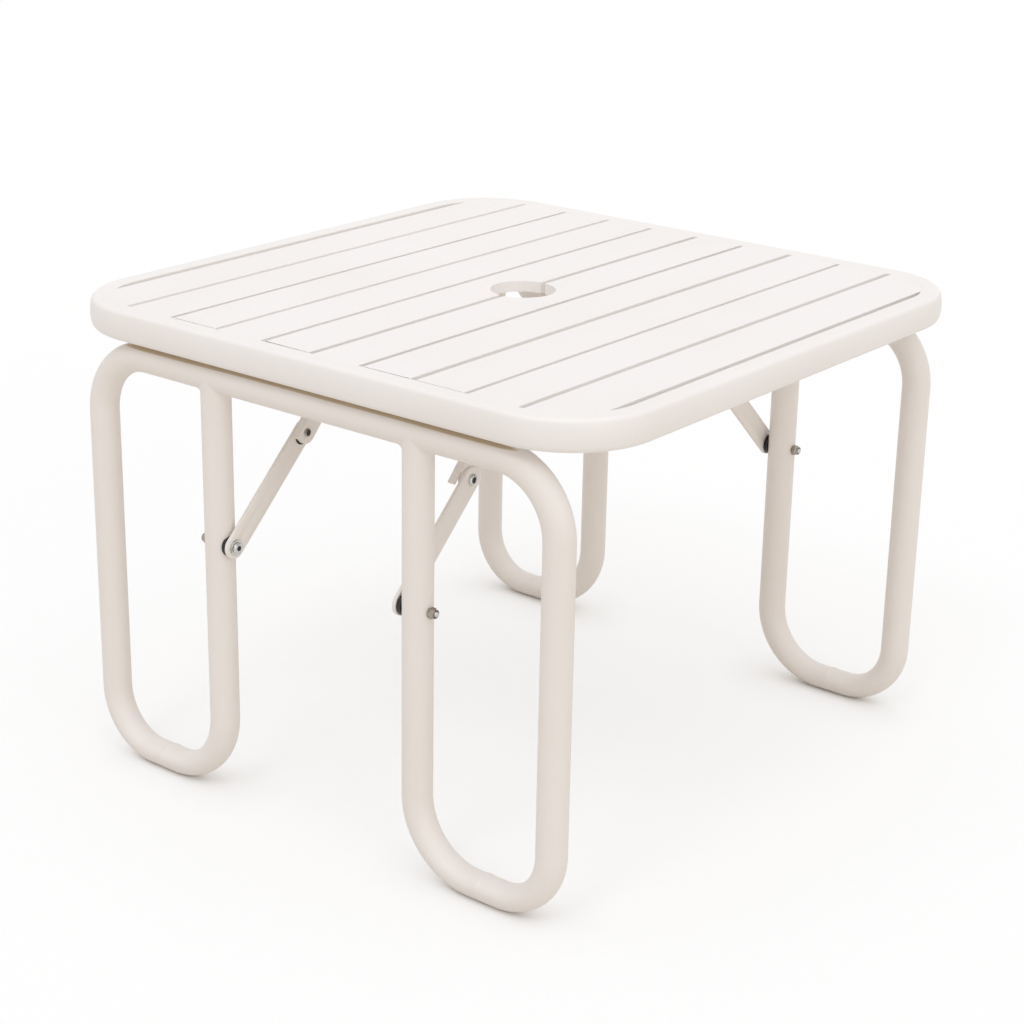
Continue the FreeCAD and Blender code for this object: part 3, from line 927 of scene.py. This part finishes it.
# Thin black disc between the links at the elbow: painted shadow of the gap between them.
ELBOW_GAP_SHADE = Turned(
    "elbow_pad_pattern",
    rings(Ring.ROUND, (0.0, 0.0), (0.0, 8.3), (0.1, 8.4), (0.2, 8.3), (0.2, 0.0)),
)
PEEN = Turned(
    "peen_pattern",
    rings(Ring.ROUND, (-3.3, 0.0), (-3.3, 2.6), (0.0, 2.6), (0.0, 3.7))
    + rings(Ring.ROUND, (0.4, 3.85), (1.0, 3.65), (1.5, 3.1), (1.6, 2.8))
    + rings(Ring.HEX, (1.4, 2.6), (0.9, 2.4))
    + rings(Ring.ROUND, (0.6, 0.0)),
)
RIVET = Turned(
    "rivet_pattern",
    rings(Ring.ROUND, (-3.3, 0.0), (-3.3, 2.95), (0.0, 2.95), (0.0, 4.85), (0.4, 5.0), (1.0, 4.85))
    + rings(Ring.ROUND, (1.6, 4.4), (2.1, 3.8), (2.3, 3.3), (2.2, 2.9))
    + rings(Ring.HEX, (1.8, 2.6), (0.9, 2.4))
    + rings(Ring.ROUND, (0.6, 0.0)),
)


@dataclass
class Workshop:
    """The trees and finishes that the sub-assemblies share."""

    tube_paint: Finish
    hoop_paint: Finish
    rail_paint: Finish
    slat_paint: Finish
    stay_paint: Finish
    steel: Finish
    dull: Finish
    black: Finish
    tubes: TubePlan
    slats: SlatPlan
    pins: PinPlan

    def pipe(self, radius: float) -> Piece:
        """Makes the round section of a leg tube.

        Args:
            radius: Radius in millimetres.

        Returns:
            The section.
        """
        turns = [2 * math.pi * k / TUBE_SIDES for k in range(TUBE_SIDES)]
        ring = [Vector((math.cos(turn), math.sin(turn), 0.0)) * radius * MM for turn in turns]
        return section("leg_section", ring)

    def tube(
        self,
        name: str,
        form: Piece,
        line: list[Station],
        finish: Finish,
        closed: bool = False,
    ) -> Piece:
        """Grows a painted tube along a line.

        Args:
            name: Name of the piece.
            form: Its section.
            line: Rings along its centre line in metres.
            finish: Its material.
            closed: Whether the line is a loop.

        Returns:
            The tube.
        """
        values = {"Section": form, "Finish": finish}
        piece = faced_out(self.tubes.run(name, line_mesh(name, line, closed), values))
        piece.data.set_sharp_from_angle(angle=TUBE_SHARP)
        return piece

    def row(
        self, name: str, pattern: Turned, finish: Finish, spots: list[Spot]
    ) -> Piece:
        """Grows one fastener on every spot, each along X.

        Args:
            name: Name of the piece.
            pattern: The fastener.
            finish: Its material.
            spots: Places in metres, each with the sign of X that it faces.

        Returns:
            The fasteners as one mesh.
        """
        seed = bpy.data.meshes.new(name)
        seed.from_pydata([place for place, _ in spots], [], [])
        turn = seed.attributes.new("turn", "FLOAT_VECTOR", "POINT")
        for k, (_, facing) in enumerate(spots):
            turn.data[k].vector = (0.0, facing * math.pi / 2, 0.0)
        return self.pins.run(name, seed, {"Shape": pattern.shape(), "Finish": finish})


@dataclass
class TableTop:
    """Rail, slats and the brackets under them, in millimetres.

    Each open joint names a slat, counted from 0, and the width of its gap at both ends.
    """

    shop: Workshop
    rail_line: float = 290.0
    rail_height: float = 426.0
    rail_half_wide: float = 10.0
    rail_half_deep: float = 14.0
    rail_bend: float = 74.0
    rail_bulge: float = 40.0
    rail_crest: float = 4.5
    rail_keel: float = 7.0
    rail_lip: float = 1.0
    edge_steps: int = 8
    bulge_steps: int = 6
    lip_steps: int = 6
    slat_width: float = 50.2
    slat_pitch: float = 55.0
    slat_count: int = 10
    slat_base: float = 429.75
    slat_thick: float = 10.0
    slat_round: float = 1.5
    slat_into_rail: float = 0.6
    hole_radius: float = 30.0
    shifts: tuple[float, ...] = (0.6, 0.7, -0.2, -0.4, -0.7, -0.2, -0.4, 0.5, -0.2, 1.3)
    grown: tuple[float, ...] = (0.0,) * 9 + (2.2,)
    joints: tuple[tuple[int, Span], ...] = (
        (2, (0.5, 0.3)),
        (4, (1.2, 0.4)),
        (6, (0.35, 0.8)),
        (7, (0.25, 0.25)),
    )
    joint_levels: Span = (437.0, 439.86)
    joint_margin: float = 1.0
    joint_start: float = 0.1
    crack: Span = (275.3, 279.3)
    crack_start: float = 239.6
    crack_wide: float = 3.6
    crack_levels: Span = (432.0, 439.2)
    # Painted shadow strips: the step along them, the waviness of the far edge and their rounding.
    dirt_step: float = 3.0
    dirt_wave: float = 0.125
    dirt_waves: float = 1.7
    dirt_edge: float = 0.12
    bracket_edge: float = 0.4
    pin_edge: float = 0.3

    def build(self) -> None:
        """Builds and dresses the top."""
        self.rail()
        self.slats()
        self.open_joints()
        self.brackets()

    def rail(self) -> None:
        """Bends the rail round the top."""
        half = self.rail_line * MM
        square = ((1, -1), (1, 1), (-1, 1), (-1, -1))
        corners = [Vector((x * half, y * half, self.rail_height * MM)) for x, y in square]
        line = bent(corners, [self.rail_bend * MM] * 4, True, {})
        form = section("rail_section", [point * MM for point in self.rail_outline()])
        piece = self.shop.tube("rail_tube", form, line, self.shop.rail_paint, True)
        mounted(piece, "table_top", Slot.TUBE, "top_rail")

    def rail_outline(self) -> list[Vector]:
        """Draws the rail's section: X outward, Y down, flat on top, bulging a little on the outside.

        Returns:
            Points round the section in millimetres.
        """
        wide, deep = self.rail_half_wide, self.rail_half_deep
        points = []
        for radius, way in ((self.rail_keel, 1), (self.rail_crest, -1)):
            reach = self.rail_bulge - radius
            lean = math.asin((deep - radius) / reach)
            away = wide - self.rail_bulge + reach * math.cos(lean)
            hub = Vector((away, way * reach * math.sin(lean), 0.0))
            curve = []
            for k in range(self.edge_steps + 1):
                turn = math.pi / 2 + (lean - math.pi / 2) * k / self.edge_steps
                curve.append(hub + Vector((math.cos(turn), way * math.sin(turn), 0.0)) * radius)
            for k in range(1, self.bulge_steps):
                turn = lean * (1 - k / self.bulge_steps)
                away = wide - self.rail_bulge * (1 - math.cos(turn))
                curve.append(Vector((away, way * self.rail_bulge * math.sin(turn), 0.0)))
            points += curve if way > 0 else [Vector((wide, 0.0, 0.0))] + curve[::-1]
        for radius, way in ((self.rail_lip, -1), (self.rail_keel, 1)):
            hub = Vector((radius - wide, way * (deep - radius), 0.0))
            turns = [math.pi / 2 * k / self.lip_steps for k in range(self.lip_steps + 1)]
            curve = [hub + Vector((-math.sin(t), way * math.cos(t), 0.0)) * radius for t in turns]
            points += curve if way < 0 else curve[::-1]
        return points

    def slat_middle(self, index: int) -> float:
        """Where the middle of a slat stands along X, with slats counted from 0."""
        return (index - (self.slat_count - 1) / 2) * self.slat_pitch + self.shifts[index]

    def slats(self) -> None:
        """Lays the slats inside the rail and drills the hole."""
        seed = bpy.data.meshes.new("slat_field")
        places = [self.slat_middle(k) for k in range(self.slat_count)]
        seed.from_pydata([(x * MM, 0.0, self.slat_base * MM) for x in places], [], [])
        stretch = seed.attributes.new("stretch", "FLOAT_VECTOR", "POINT")
        for k in range(self.slat_count):
            stretch.data[k].vector = (1.0 + self.grown[k] / self.slat_width, 1.0, 1.0)
        values = {
            "Width": self.slat_width * MM,
            "Thickness": self.slat_thick * MM,
            "Straight half": (self.rail_line - self.rail_bend) * MM,
            "End bend": (self.rail_bend - self.rail_half_wide + self.slat_into_rail) * MM,
            "Hole radius": self.hole_radius * MM,
            "Finish": self.shop.slat_paint,
        }
        piece = self.shop.slats.run("slat_field", seed, values)
        bevelled(piece, self.slat_round * MM, steps=3, angle=50.0)
        nodes = [f"slat_{k + 1:02d}" for k in range(self.slat_count)]
        mounted(piece, "table_top", Slot.SLAT, *nodes)

    def open_joints(self) -> None:
        """Puts thin black strips in open joints as painted shadow: the front ends of some slats and a
        crack at a corner.
        """
        work = bmesh.new()
        front = self.rail_half_wide - self.rail_line + self.joint_start
        half = self.slat_width / 2 - self.joint_margin
        for index, widths in self.joints:
            middle = self.slat_middle(index)
            self.strip(work, (middle - half, middle + half), front, widths, self.joint_levels)
        self.strip(work, self.crack, self.crack_start, (self.crack_wide,) * 2, self.crack_levels)
        # Painted shadow: black strips stand where the open joints only hold shade.
        mesh = poured(work, bpy.data.meshes.new("joint_dirt"))
        mesh.materials.append(self.shop.black)
        piece = bevelled(linked("joint_dirt", mesh), self.dirt_edge * MM, steps=2, angle=30.0)
        mounted(piece, "table_top", Slot.BLACK)

    def strip(self, work: Work, x: Span, y: float, widths: Span, z: Span) -> None:
        """Adds one strip of painted shadow with a wavy edge.

        Args:
            work: Mesh that gets the strip.
            x: From and to along X in millimetres.
            y: Its near edge.
            widths: Its width along Y at either end.
            z: From and to along Z.
        """
        count = max(4, round((x[1] - x[0]) / self.dirt_step) + 1)
        loops = []
        for k in range(count):
            share = k / (count - 1)
            along = x[0] + (x[1] - x[0]) * share
            width = widths[0] + (widths[1] - widths[0]) * share
            far = y + width * (1 - self.dirt_wave * (1 + math.sin(along * self.dirt_waves)))
            corners = ((y, z[0]), (far, z[0]), (far, z[1]), (y, z[1]))
            loops.append([work.verts.new((along * MM, b * MM, c * MM)) for b, c in corners])
        faces = [work.faces.new(loops[0]), work.faces.new(loops[-1])]
        for first, second in zip(loops, loops[1:]):
            for k in range(4):
                faces.append(work.faces.new((first[k], first[k - 1], second[k - 1], second[k])))
        bmesh.ops.recalc_face_normals(work, faces=faces)

    def brackets(self) -> None:
        """Dresses the brackets, pins and rivets under the slats."""
        for flank in Flank:
            for side in Side:
                for kind in ("hinge_bracket", "stay_bracket"):
                    node = f"{kind}_{flank.word}_{side.word}"
                    piece = softened(f"{node}_plate", node, self.shop.stay_paint, self.bracket_edge * MM)
                    mounted(piece, "table_top", Slot.STAY, node)
        for node in ("hinge_pins", "stay_rivets"):
            piece = softened(f"{node}_heads", node, self.shop.steel, self.pin_edge * MM)
            mounted(piece, "table_top", Slot.STEEL, node)


@dataclass
class LegFrame:
    """One bent leg frame with its two floor loops and stay pivots, in millimetres.

    The collar is the swell beside a foot seam: how far from the seam, and which share of the lip. The
    weld's fillet is largest on both sides of a leg and fades to the front and the back.
    """

    shop: Workshop
    flank: Flank
    plane: float = 278.0
    radius: float = 13.35
    bar_height: float = 396.15
    outer: float = 259.0
    inner: float = 115.0
    seam: float = 192.0
    top_bend: float = 60.0
    outer_foot_bend: float = 52.0
    inner_foot_bend: float = 62.0
    pivot_height: float = 244.15
    head_base: float = 93.95
    nut_base: float = 128.35
    spacer_base: float = 99.25
    foot_flat: float = 0.28
    fillet: float = 8.0
    fillet_least: float = 0.1
    fillet_fade: float = 1.6
    fillet_seat: float = 0.998
    fillet_steps: tuple[float, ...] = (0.0, 0.17, 0.33, 0.5, 0.67, 0.83, 1.0)
    weld_sides: int = 96
    lip: float = 0.026
    collar: tuple[Span, ...] = (
        (0.0, -0.05),
        (0.8, 0.45),
        (1.7, 0.88),
        (2.8, 1.0),
        (4.2, 0.75),
        (5.8, 0.3),
        (7.5, 0.0),
    )
    ear_edge: float = 0.5

    @property
    def body(self) -> str:
        """Name of the body that the frame is."""
        return f"leg_frame_{self.flank.word}"

    @property
    def squeeze(self) -> Vector:
        """How a foot tube is flattened on its upper side."""
        return Vector((0.0, 0.0, math.sqrt(self.foot_flat)))

    def point(self, x: float, z: float) -> Vector:
        """A point in the frame's plane, in metres."""
        return Vector((x * MM, self.flank.value * self.plane * MM, z * MM))

    def build(self) -> None:
        """Builds and dresses the frame."""
        self.hoop()
        for side in Side:
            self.inner_leg(side)
        self.fittings()

    def hoop(self) -> None:
        """Bends the top bar, the outer legs and the outer half of each foot."""
        low = self.radius
        run = [(-self.seam, low), (-self.outer, low), (-self.outer, self.bar_height)]
        corners = [self.point(x, z) for x, z in run + [(-x, z) for x, z in reversed(run)]]
        bends = [0.0, self.outer_foot_bend * MM, self.top_bend * MM]
        line = bent(corners, bends + bends[::-1], False, {1: self.foot_flat, 4: self.foot_flat})
        for end in (line[0], line[-1]):
            end.pinch = self.squeeze
        node = f"leg_{self.flank.word}_hoop"
        form = self.shop.pipe(self.radius)
        piece = self.shop.tube(f"{node}_tube", form, line, self.shop.hoop_paint)
        mounted(piece, self.body, Slot.TUBE, node)

    def inner_leg(self, side: Side) -> None:
        """Bends one inner leg from the foot up into the bar.

        Args:
            side: Which of the two.
        """
        sign = side.value
        run = [(self.seam, self.radius), (self.inner, self.radius), (self.inner, self.bar_height)]
        corners = [self.point(sign * x, z) for x, z in run]
        line = bent(corners, [0.0, self.inner_foot_bend * MM, 0.0], False, {1: self.foot_flat})
        swell = []
        for reach, share in self.collar:
            x = sign * (self.seam - reach)
            ring = Station(self.point(x, self.radius), self.squeeze, self.point(x, 0.0), self.lip * share)
            swell.append(ring)
        node = f"leg_{self.flank.word}_inner_{side.word}"
        form = self.shop.pipe(self.radius)
        piece = self.shop.tube(f"{node}_tube", form, swell + line[1:], self.shop.tube_paint)
        self.weld(piece, side)
        mounted(piece, self.body, Slot.TUBE, node)

    def weld(self, piece: Piece, side: Side) -> None:
        """Adds the hollow fillet between an inner leg and the bar.

        Args:
            piece: The inner leg's tube.
            side: Which of the two.
        """
        work = bmesh.new()
        work.from_mesh(piece.data)
        base = self.point(side.value * self.inner, self.bar_height)
        seat = self.radius * self.fillet_seat
        loops = []
        for k in range(self.weld_sides):
            angle = 2 * math.pi * k / self.weld_sides
            across, ahead = math.cos(angle), math.sin(angle)
            way = 1.0 if across >= 0.0 else -1.0
            size = max(self.fillet * abs(across) ** self.fillet_fade, self.fillet_least)
            root = Vector((across, ahead, -abs(across))) * seat
            down = root - Vector((0.0, 0.0, size))
            out = root + Vector((way * size, 0.0, 0.0))
            curve = [down.lerp(root, s).lerp(root.lerp(out, s), s) for s in self.fillet_steps]
            curve.append(root + Vector((-way, -ahead, 1.0)))
            loops.append([work.verts.new(base + spot * MM) for spot in curve])
        added = []
        for first, second in zip(loops, loops[1:] + loops[:1]):
            for k, start in enumerate(first):
                n = (k + 1) % len(first)
                added.append(work.faces.new((start, first[n], second[n], second[k])))
        bmesh.ops.recalc_face_normals(work, faces=added)
        for face in added:
            face.smooth = True
        poured(work, piece.data).set_sharp_from_angle(angle=TUBE_SHARP)

    def fittings(self) -> None:
        """Fits the hinge ears and the bolts, washers, spacers and lock nuts of the stays, with black
        plugs as painted shade in the bolt heads' recesses.
        """
        shop = self.shop
        stem = f"leg_{self.flank.word}"
        ears = softened(f"{stem}_ear_plates", f"{stem}_hinge_ears", shop.stay_paint, self.ear_edge * MM)
        mounted(ears, self.body, Slot.STAY, f"{stem}_hinge_ears")
        at_stay, at_head = self.spots(self.spacer_base, 1), self.spots(self.head_base, -1)
        at_washer, at_nut = self.spots(self.head_base, 1), self.spots(self.nut_base, 1)
        for label, pattern, finish, slot, spots, node in (
            ("black_spacers", SPACER, shop.black, Slot.BLACK, at_stay, "spacers"),
            ("bright_pivot_bolts", BOLT, shop.steel, Slot.STEEL, at_head, "pivot_bolts"),
            ("bright_washers", WASHER, shop.steel, Slot.STEEL, at_washer, "washers"),
            ("bright_lock_nuts", LOCK_NUT, shop.dull, Slot.STEEL, at_nut, "lock_nuts"),
            ("black_nut_rings", NUT_RING, shop.black, Slot.BLACK, at_nut, ""),
            # Black plugs in the bolt heads: painted shade in their recesses.
            ("black_bolt_sockets", RECESS_SHADE, shop.black, Slot.BLACK, at_head, ""),
        ):
            piece = shop.row(f"{stem}_{label}", pattern, finish, spots)
            nodes = [f"{stem}_{node}"] if node else []
            mounted(piece, self.body, slot, *nodes)

    def spots(self, base: float, facing: int) -> list[Spot]:
        """Both pivots at a distance from the middle plane, and the way a fastener faces there.

        Args:
            base: Distance from the middle plane.
            facing: 1 to face outward, -1 to face the middle.

        Returns:
            The places in metres, each with the sign of X that it faces.
        """
        return [(self.point(s.value * base, self.pivot_height), s.value * facing) for s in Side]


@dataclass
class Stay:
    """One two-link stay with its elbow rivet, in millimetres."""

    shop: Workshop
    flank: Flank
    side: Side
    elbow_y: float = 190.0
    elbow_height: float = 329.15
    tail_base: float = 98.95
    head_base: float = 91.65
    # Place, offset and offset direction of the black disc that paints the shadow between the links.
    pad_base: float = 95.25
    pad_drop: float = 4.0
    pad_aim: Span = (0.72, -0.69)
    edge: float = 0.5

    def place(self, base: float) -> Vector:
        """The elbow at a distance from the middle plane, in metres."""
        y = self.flank.value * self.elbow_y
        return Vector((self.side.value * base, y, self.elbow_height)) * MM

    def build(self) -> None:
        """Builds and dresses the links and the rivet's two ends, with black plugs as painted shade in the
        rivet's recesses and a thin black disc as painted shadow between the links.
        """
        tag = f"{self.flank.word}_{self.side.word}"
        for level, end, base, facing, pattern, finish in (
            ("lower", "elbow_tail", self.tail_base, 1, RIVET, self.shop.steel),
            ("upper", "elbow_head", self.head_base, -1, PEEN, self.shop.dull),
        ):
            body = f"{level}_stay_{tag}"
            node = f"{level}_link_{tag}"
            bar = softened(f"{node}_bar", node, self.shop.stay_paint, self.edge * MM)
            mounted(bar, body, Slot.STAY, node)
            spots = [(self.place(base), self.side.value * facing)]
            rivet = self.shop.row(f"{end}_{tag}_rivet", pattern, finish, spots)
            mounted(rivet, body, Slot.STEEL, f"{end}_{tag}")
            # Painted shadow: a thin black disc between the links, set off-centre so that a dark crescent
            # shows in the gap.
            if level == "lower":
                away, up = self.pad_aim
                drop = Vector((0.0, self.flank.value * away, up)) * self.pad_drop * MM
                under = [(self.place(self.pad_base) + drop, self.side.value)]
                gap_shade = self.shop.row(f"elbow_pad_{tag}", ELBOW_GAP_SHADE, self.shop.black, under)
                mounted(gap_shade, body, Slot.BLACK)
            # Painted shade: a black plug in the hex recess of this rivet end.
            socket = self.shop.row(f"{end}_{tag}_socket", RECESS_SHADE, self.shop.black, spots)
            mounted(socket, body, Slot.BLACK)


@dataclass(frozen=True)
class Lamp:
    """A far lamp: its direction, what it adds to a level surface, its colour and its spread."""

    aim: Colour
    level: float
    colour: Colour
    spread: float


@dataclass
class Studio:
    """Pale floor, soft light and the camera, in metres."""

    floor_half: float = 9.0
    floor_white: float = 0.60
    floor_colour: Colour = (0.99, 0.99, 0.99)
    floor_glow: float = 1.02
    contact_reach: float = 0.06
    contact_depth: float = 1.3
    contact_samples: int = 8
    floor_bounce: Colour = (0.78, 0.74, 0.69)
    ambient: Colour = (0.70, 0.67, 0.64)
    lamps: tuple[Lamp, ...] = (
        Lamp((0.1, -0.1, 1.0), 0.19, (0.96, 1.04, 1.16), 1.2),
        Lamp((0.1, -0.75, 1.0), 0.07, (0.96, 1.04, 1.16), 0.3),
        Lamp((1.0, -0.35, 0.4), 0.036, (1.0, 0.99, 0.94), 0.6),
    )
    eye: Colour = (1.24029, -1.57959, 0.96323)
    yaw: float = -0.66882
    pitch: float = -0.35297
    roll: float = 0.018272
    lens: float = 79.712
    sensor: float = 36.0
    sight: float = 60.0

    def build(self) -> None:
        """Sets up the whole stage."""
        self.floor()
        self.world()
        self.suns()
        self.camera()
        bpy.context.scene.view_settings.view_transform = "Standard"

    def seen(self, bench: Bench) -> Signal:
        """Adds the mask of rays that show the plain white ground.

        Args:
            bench: Tree that gets the node.

        Returns:
            1 for camera, glossy and transmission rays.
        """
        path = bench.add("ShaderNodeLightPath", {}, {})
        names = ("Is Camera Ray", "Is Glossy Ray", "Is Transmission Ray")
        rays = [Signal(bench, path.outputs[name]) for name in names]
        return rays[0].floor_at(rays[1]).floor_at(rays[2])

    def floor(self) -> None:
        """Lays the pale floor, which keeps a soft share of every shadow."""
        work = bmesh.new()
        bmesh.ops.create_grid(work, x_segments=4, y_segments=4, size=self.floor_half)
        mesh = poured(work, bpy.data.meshes.new("floor"))
        coat = Coat("pale_floor")
        shown = self.seen(coat)
        ground = coat.mix(shown, self.floor_bounce, self.floor_colour)
        matte = coat.add("ShaderNodeBsdfDiffuse", {}, {"Color": ground})
        glow = {"Color": (1.0, 1.0, 1.0, 1.0), "Strength": self.floor_glow}
        white = coat.add("ShaderNodeEmission", {}, glow)
        samples = {"samples": self.contact_samples}
        reach = {"Distance": self.contact_reach}
        open_sky = coat.get("ShaderNodeAmbientOcclusion", samples, reach, "AO")
        share = shown * self.floor_white * (1.0 - (1.0 - open_sky) * self.contact_depth).floor_at(0.0)
        both = coat.add("ShaderNodeMixShader", {}, {0: share, 1: matte.outputs[0], 2: white.outputs[0]})
        coat.add("ShaderNodeOutputMaterial", {}, {"Surface": both.outputs[0]})
        mesh.materials.append(coat.material)
        linked("floor", mesh)

    def world(self) -> None:
        """Fills the room with soft light and keeps the ground behind the table white."""
        room = bpy.data.worlds.new("soft_room")
        room.use_nodes = True
        room.node_tree.nodes.clear()
        bench = Bench(room.node_tree)
        fill = bench.add("ShaderNodeBackground", {}, {"Color": (*self.ambient, 1.0), "Strength": 1.0})
        white = bench.add("ShaderNodeBackground", {}, {"Color": (1.0, 1.0, 1.0, 1.0), "Strength": 1.0})
        parts = {0: self.seen(bench), 1: fill.outputs[0], 2: white.outputs[0]}
        both = bench.add("ShaderNodeMixShader", {}, parts)
        bench.add("ShaderNodeOutputWorld", {}, {"Surface": both.outputs[0]})
        bpy.context.scene.world = room

    def suns(self) -> None:
        """Sets the far lamps round the table, each by what it adds to a level surface."""
        for number, lamp in enumerate(self.lamps):
            place = Vector(lamp.aim)
            light = bpy.data.lights.new(f"lamp_{number}", "SUN")
            light.color = lamp.colour
            light.angle = lamp.spread
            light.energy = lamp.level * math.pi * place.length / place.z
            holder = bpy.data.objects.new(f"lamp_{number}", light)
            holder.rotation_euler = (-place).to_track_quat("-Z", "Y").to_euler()
            bpy.context.scene.collection.objects.link(holder)

    def camera(self) -> None:
        """Sets the camera where the photograph was taken from."""
        flat = math.cos(self.pitch)
        ahead = Vector((math.sin(self.yaw) * flat, math.cos(self.yaw) * flat, math.sin(self.pitch)))
        level = Vector((math.cos(self.yaw), -math.sin(self.yaw), 0.0))
        rise = level.cross(ahead)
        right = level * math.cos(self.roll) + rise * math.sin(self.roll)
        up = rise * math.cos(self.roll) - level * math.sin(self.roll)
        eye = bpy.data.cameras.new("photo_camera")
        eye.sensor_width = self.sensor
        eye.sensor_fit = "HORIZONTAL"
        eye.lens = self.lens
        eye.clip_end = self.sight
        holder = bpy.data.objects.new("photo_camera", eye)
        turn = Matrix((right, up, -ahead)).transposed().to_4x4()
        holder.matrix_world = Matrix.Translation(self.eye) @ turn
        bpy.context.scene.collection.objects.link(holder)
        bpy.context.scene.camera = holder


def outfit() -> Workshop:
    """Makes the finishes and the trees.

    Returns:
        The workshop that every sub-assembly takes them from.
    """
    cream = linear(241, 236, 232)
    shade = linear(238, 231, 224)
    pale = linear(242, 237, 233)
    rail = linear(246, 243, 241)
    slat = linear(247, 244, 243)
    # Heights of the band of painted shade on the bar's top, under the rail.
    bar_top = (0.405, 0.4062)
    return Workshop(
        tube_paint=PowderCoat("tube_paint", cream, shade, 0.48).material(),
        hoop_paint=PowderCoat("hoop_paint", cream, shade, 0.48, dirt=bar_top).material(),
        rail_paint=PowderCoat("rail_paint", rail, pale, 0.42).material(),
        slat_paint=PowderCoat("slat_paint", slat, pale, 0.44).material(),
        stay_paint=PowderCoat("stay_paint", cream, shade, 0.42).material(),
        steel=PlatedSteel("bright_steel", linear(205, 204, 201), linear(132, 126, 117), 0.22).material(),
        dull=PlatedSteel("dull_steel", linear(172, 164, 152), linear(104, 92, 78), 0.24).material(),
        black=MouldedPlastic("spacer_black", linear(18, 18, 18), linear(38, 36, 34), 0.5).material(),
        tubes=TubePlan(),
        slats=SlatPlan(),
        pins=PinPlan(),
    )


def main() -> None:
    """Builds the stage and every sub-assembly in order."""
    logging.basicConfig(level=logging.INFO, format="%(name)s: %(message)s")
    Studio().build()
    shop = outfit()
    TableTop(shop).build()
    for flank in Flank:
        LegFrame(shop, flank).build()
    for flank in Flank:
        for side in Side:
            Stay(shop, flank, side).build()


if __name__ == "__main__":
    main()
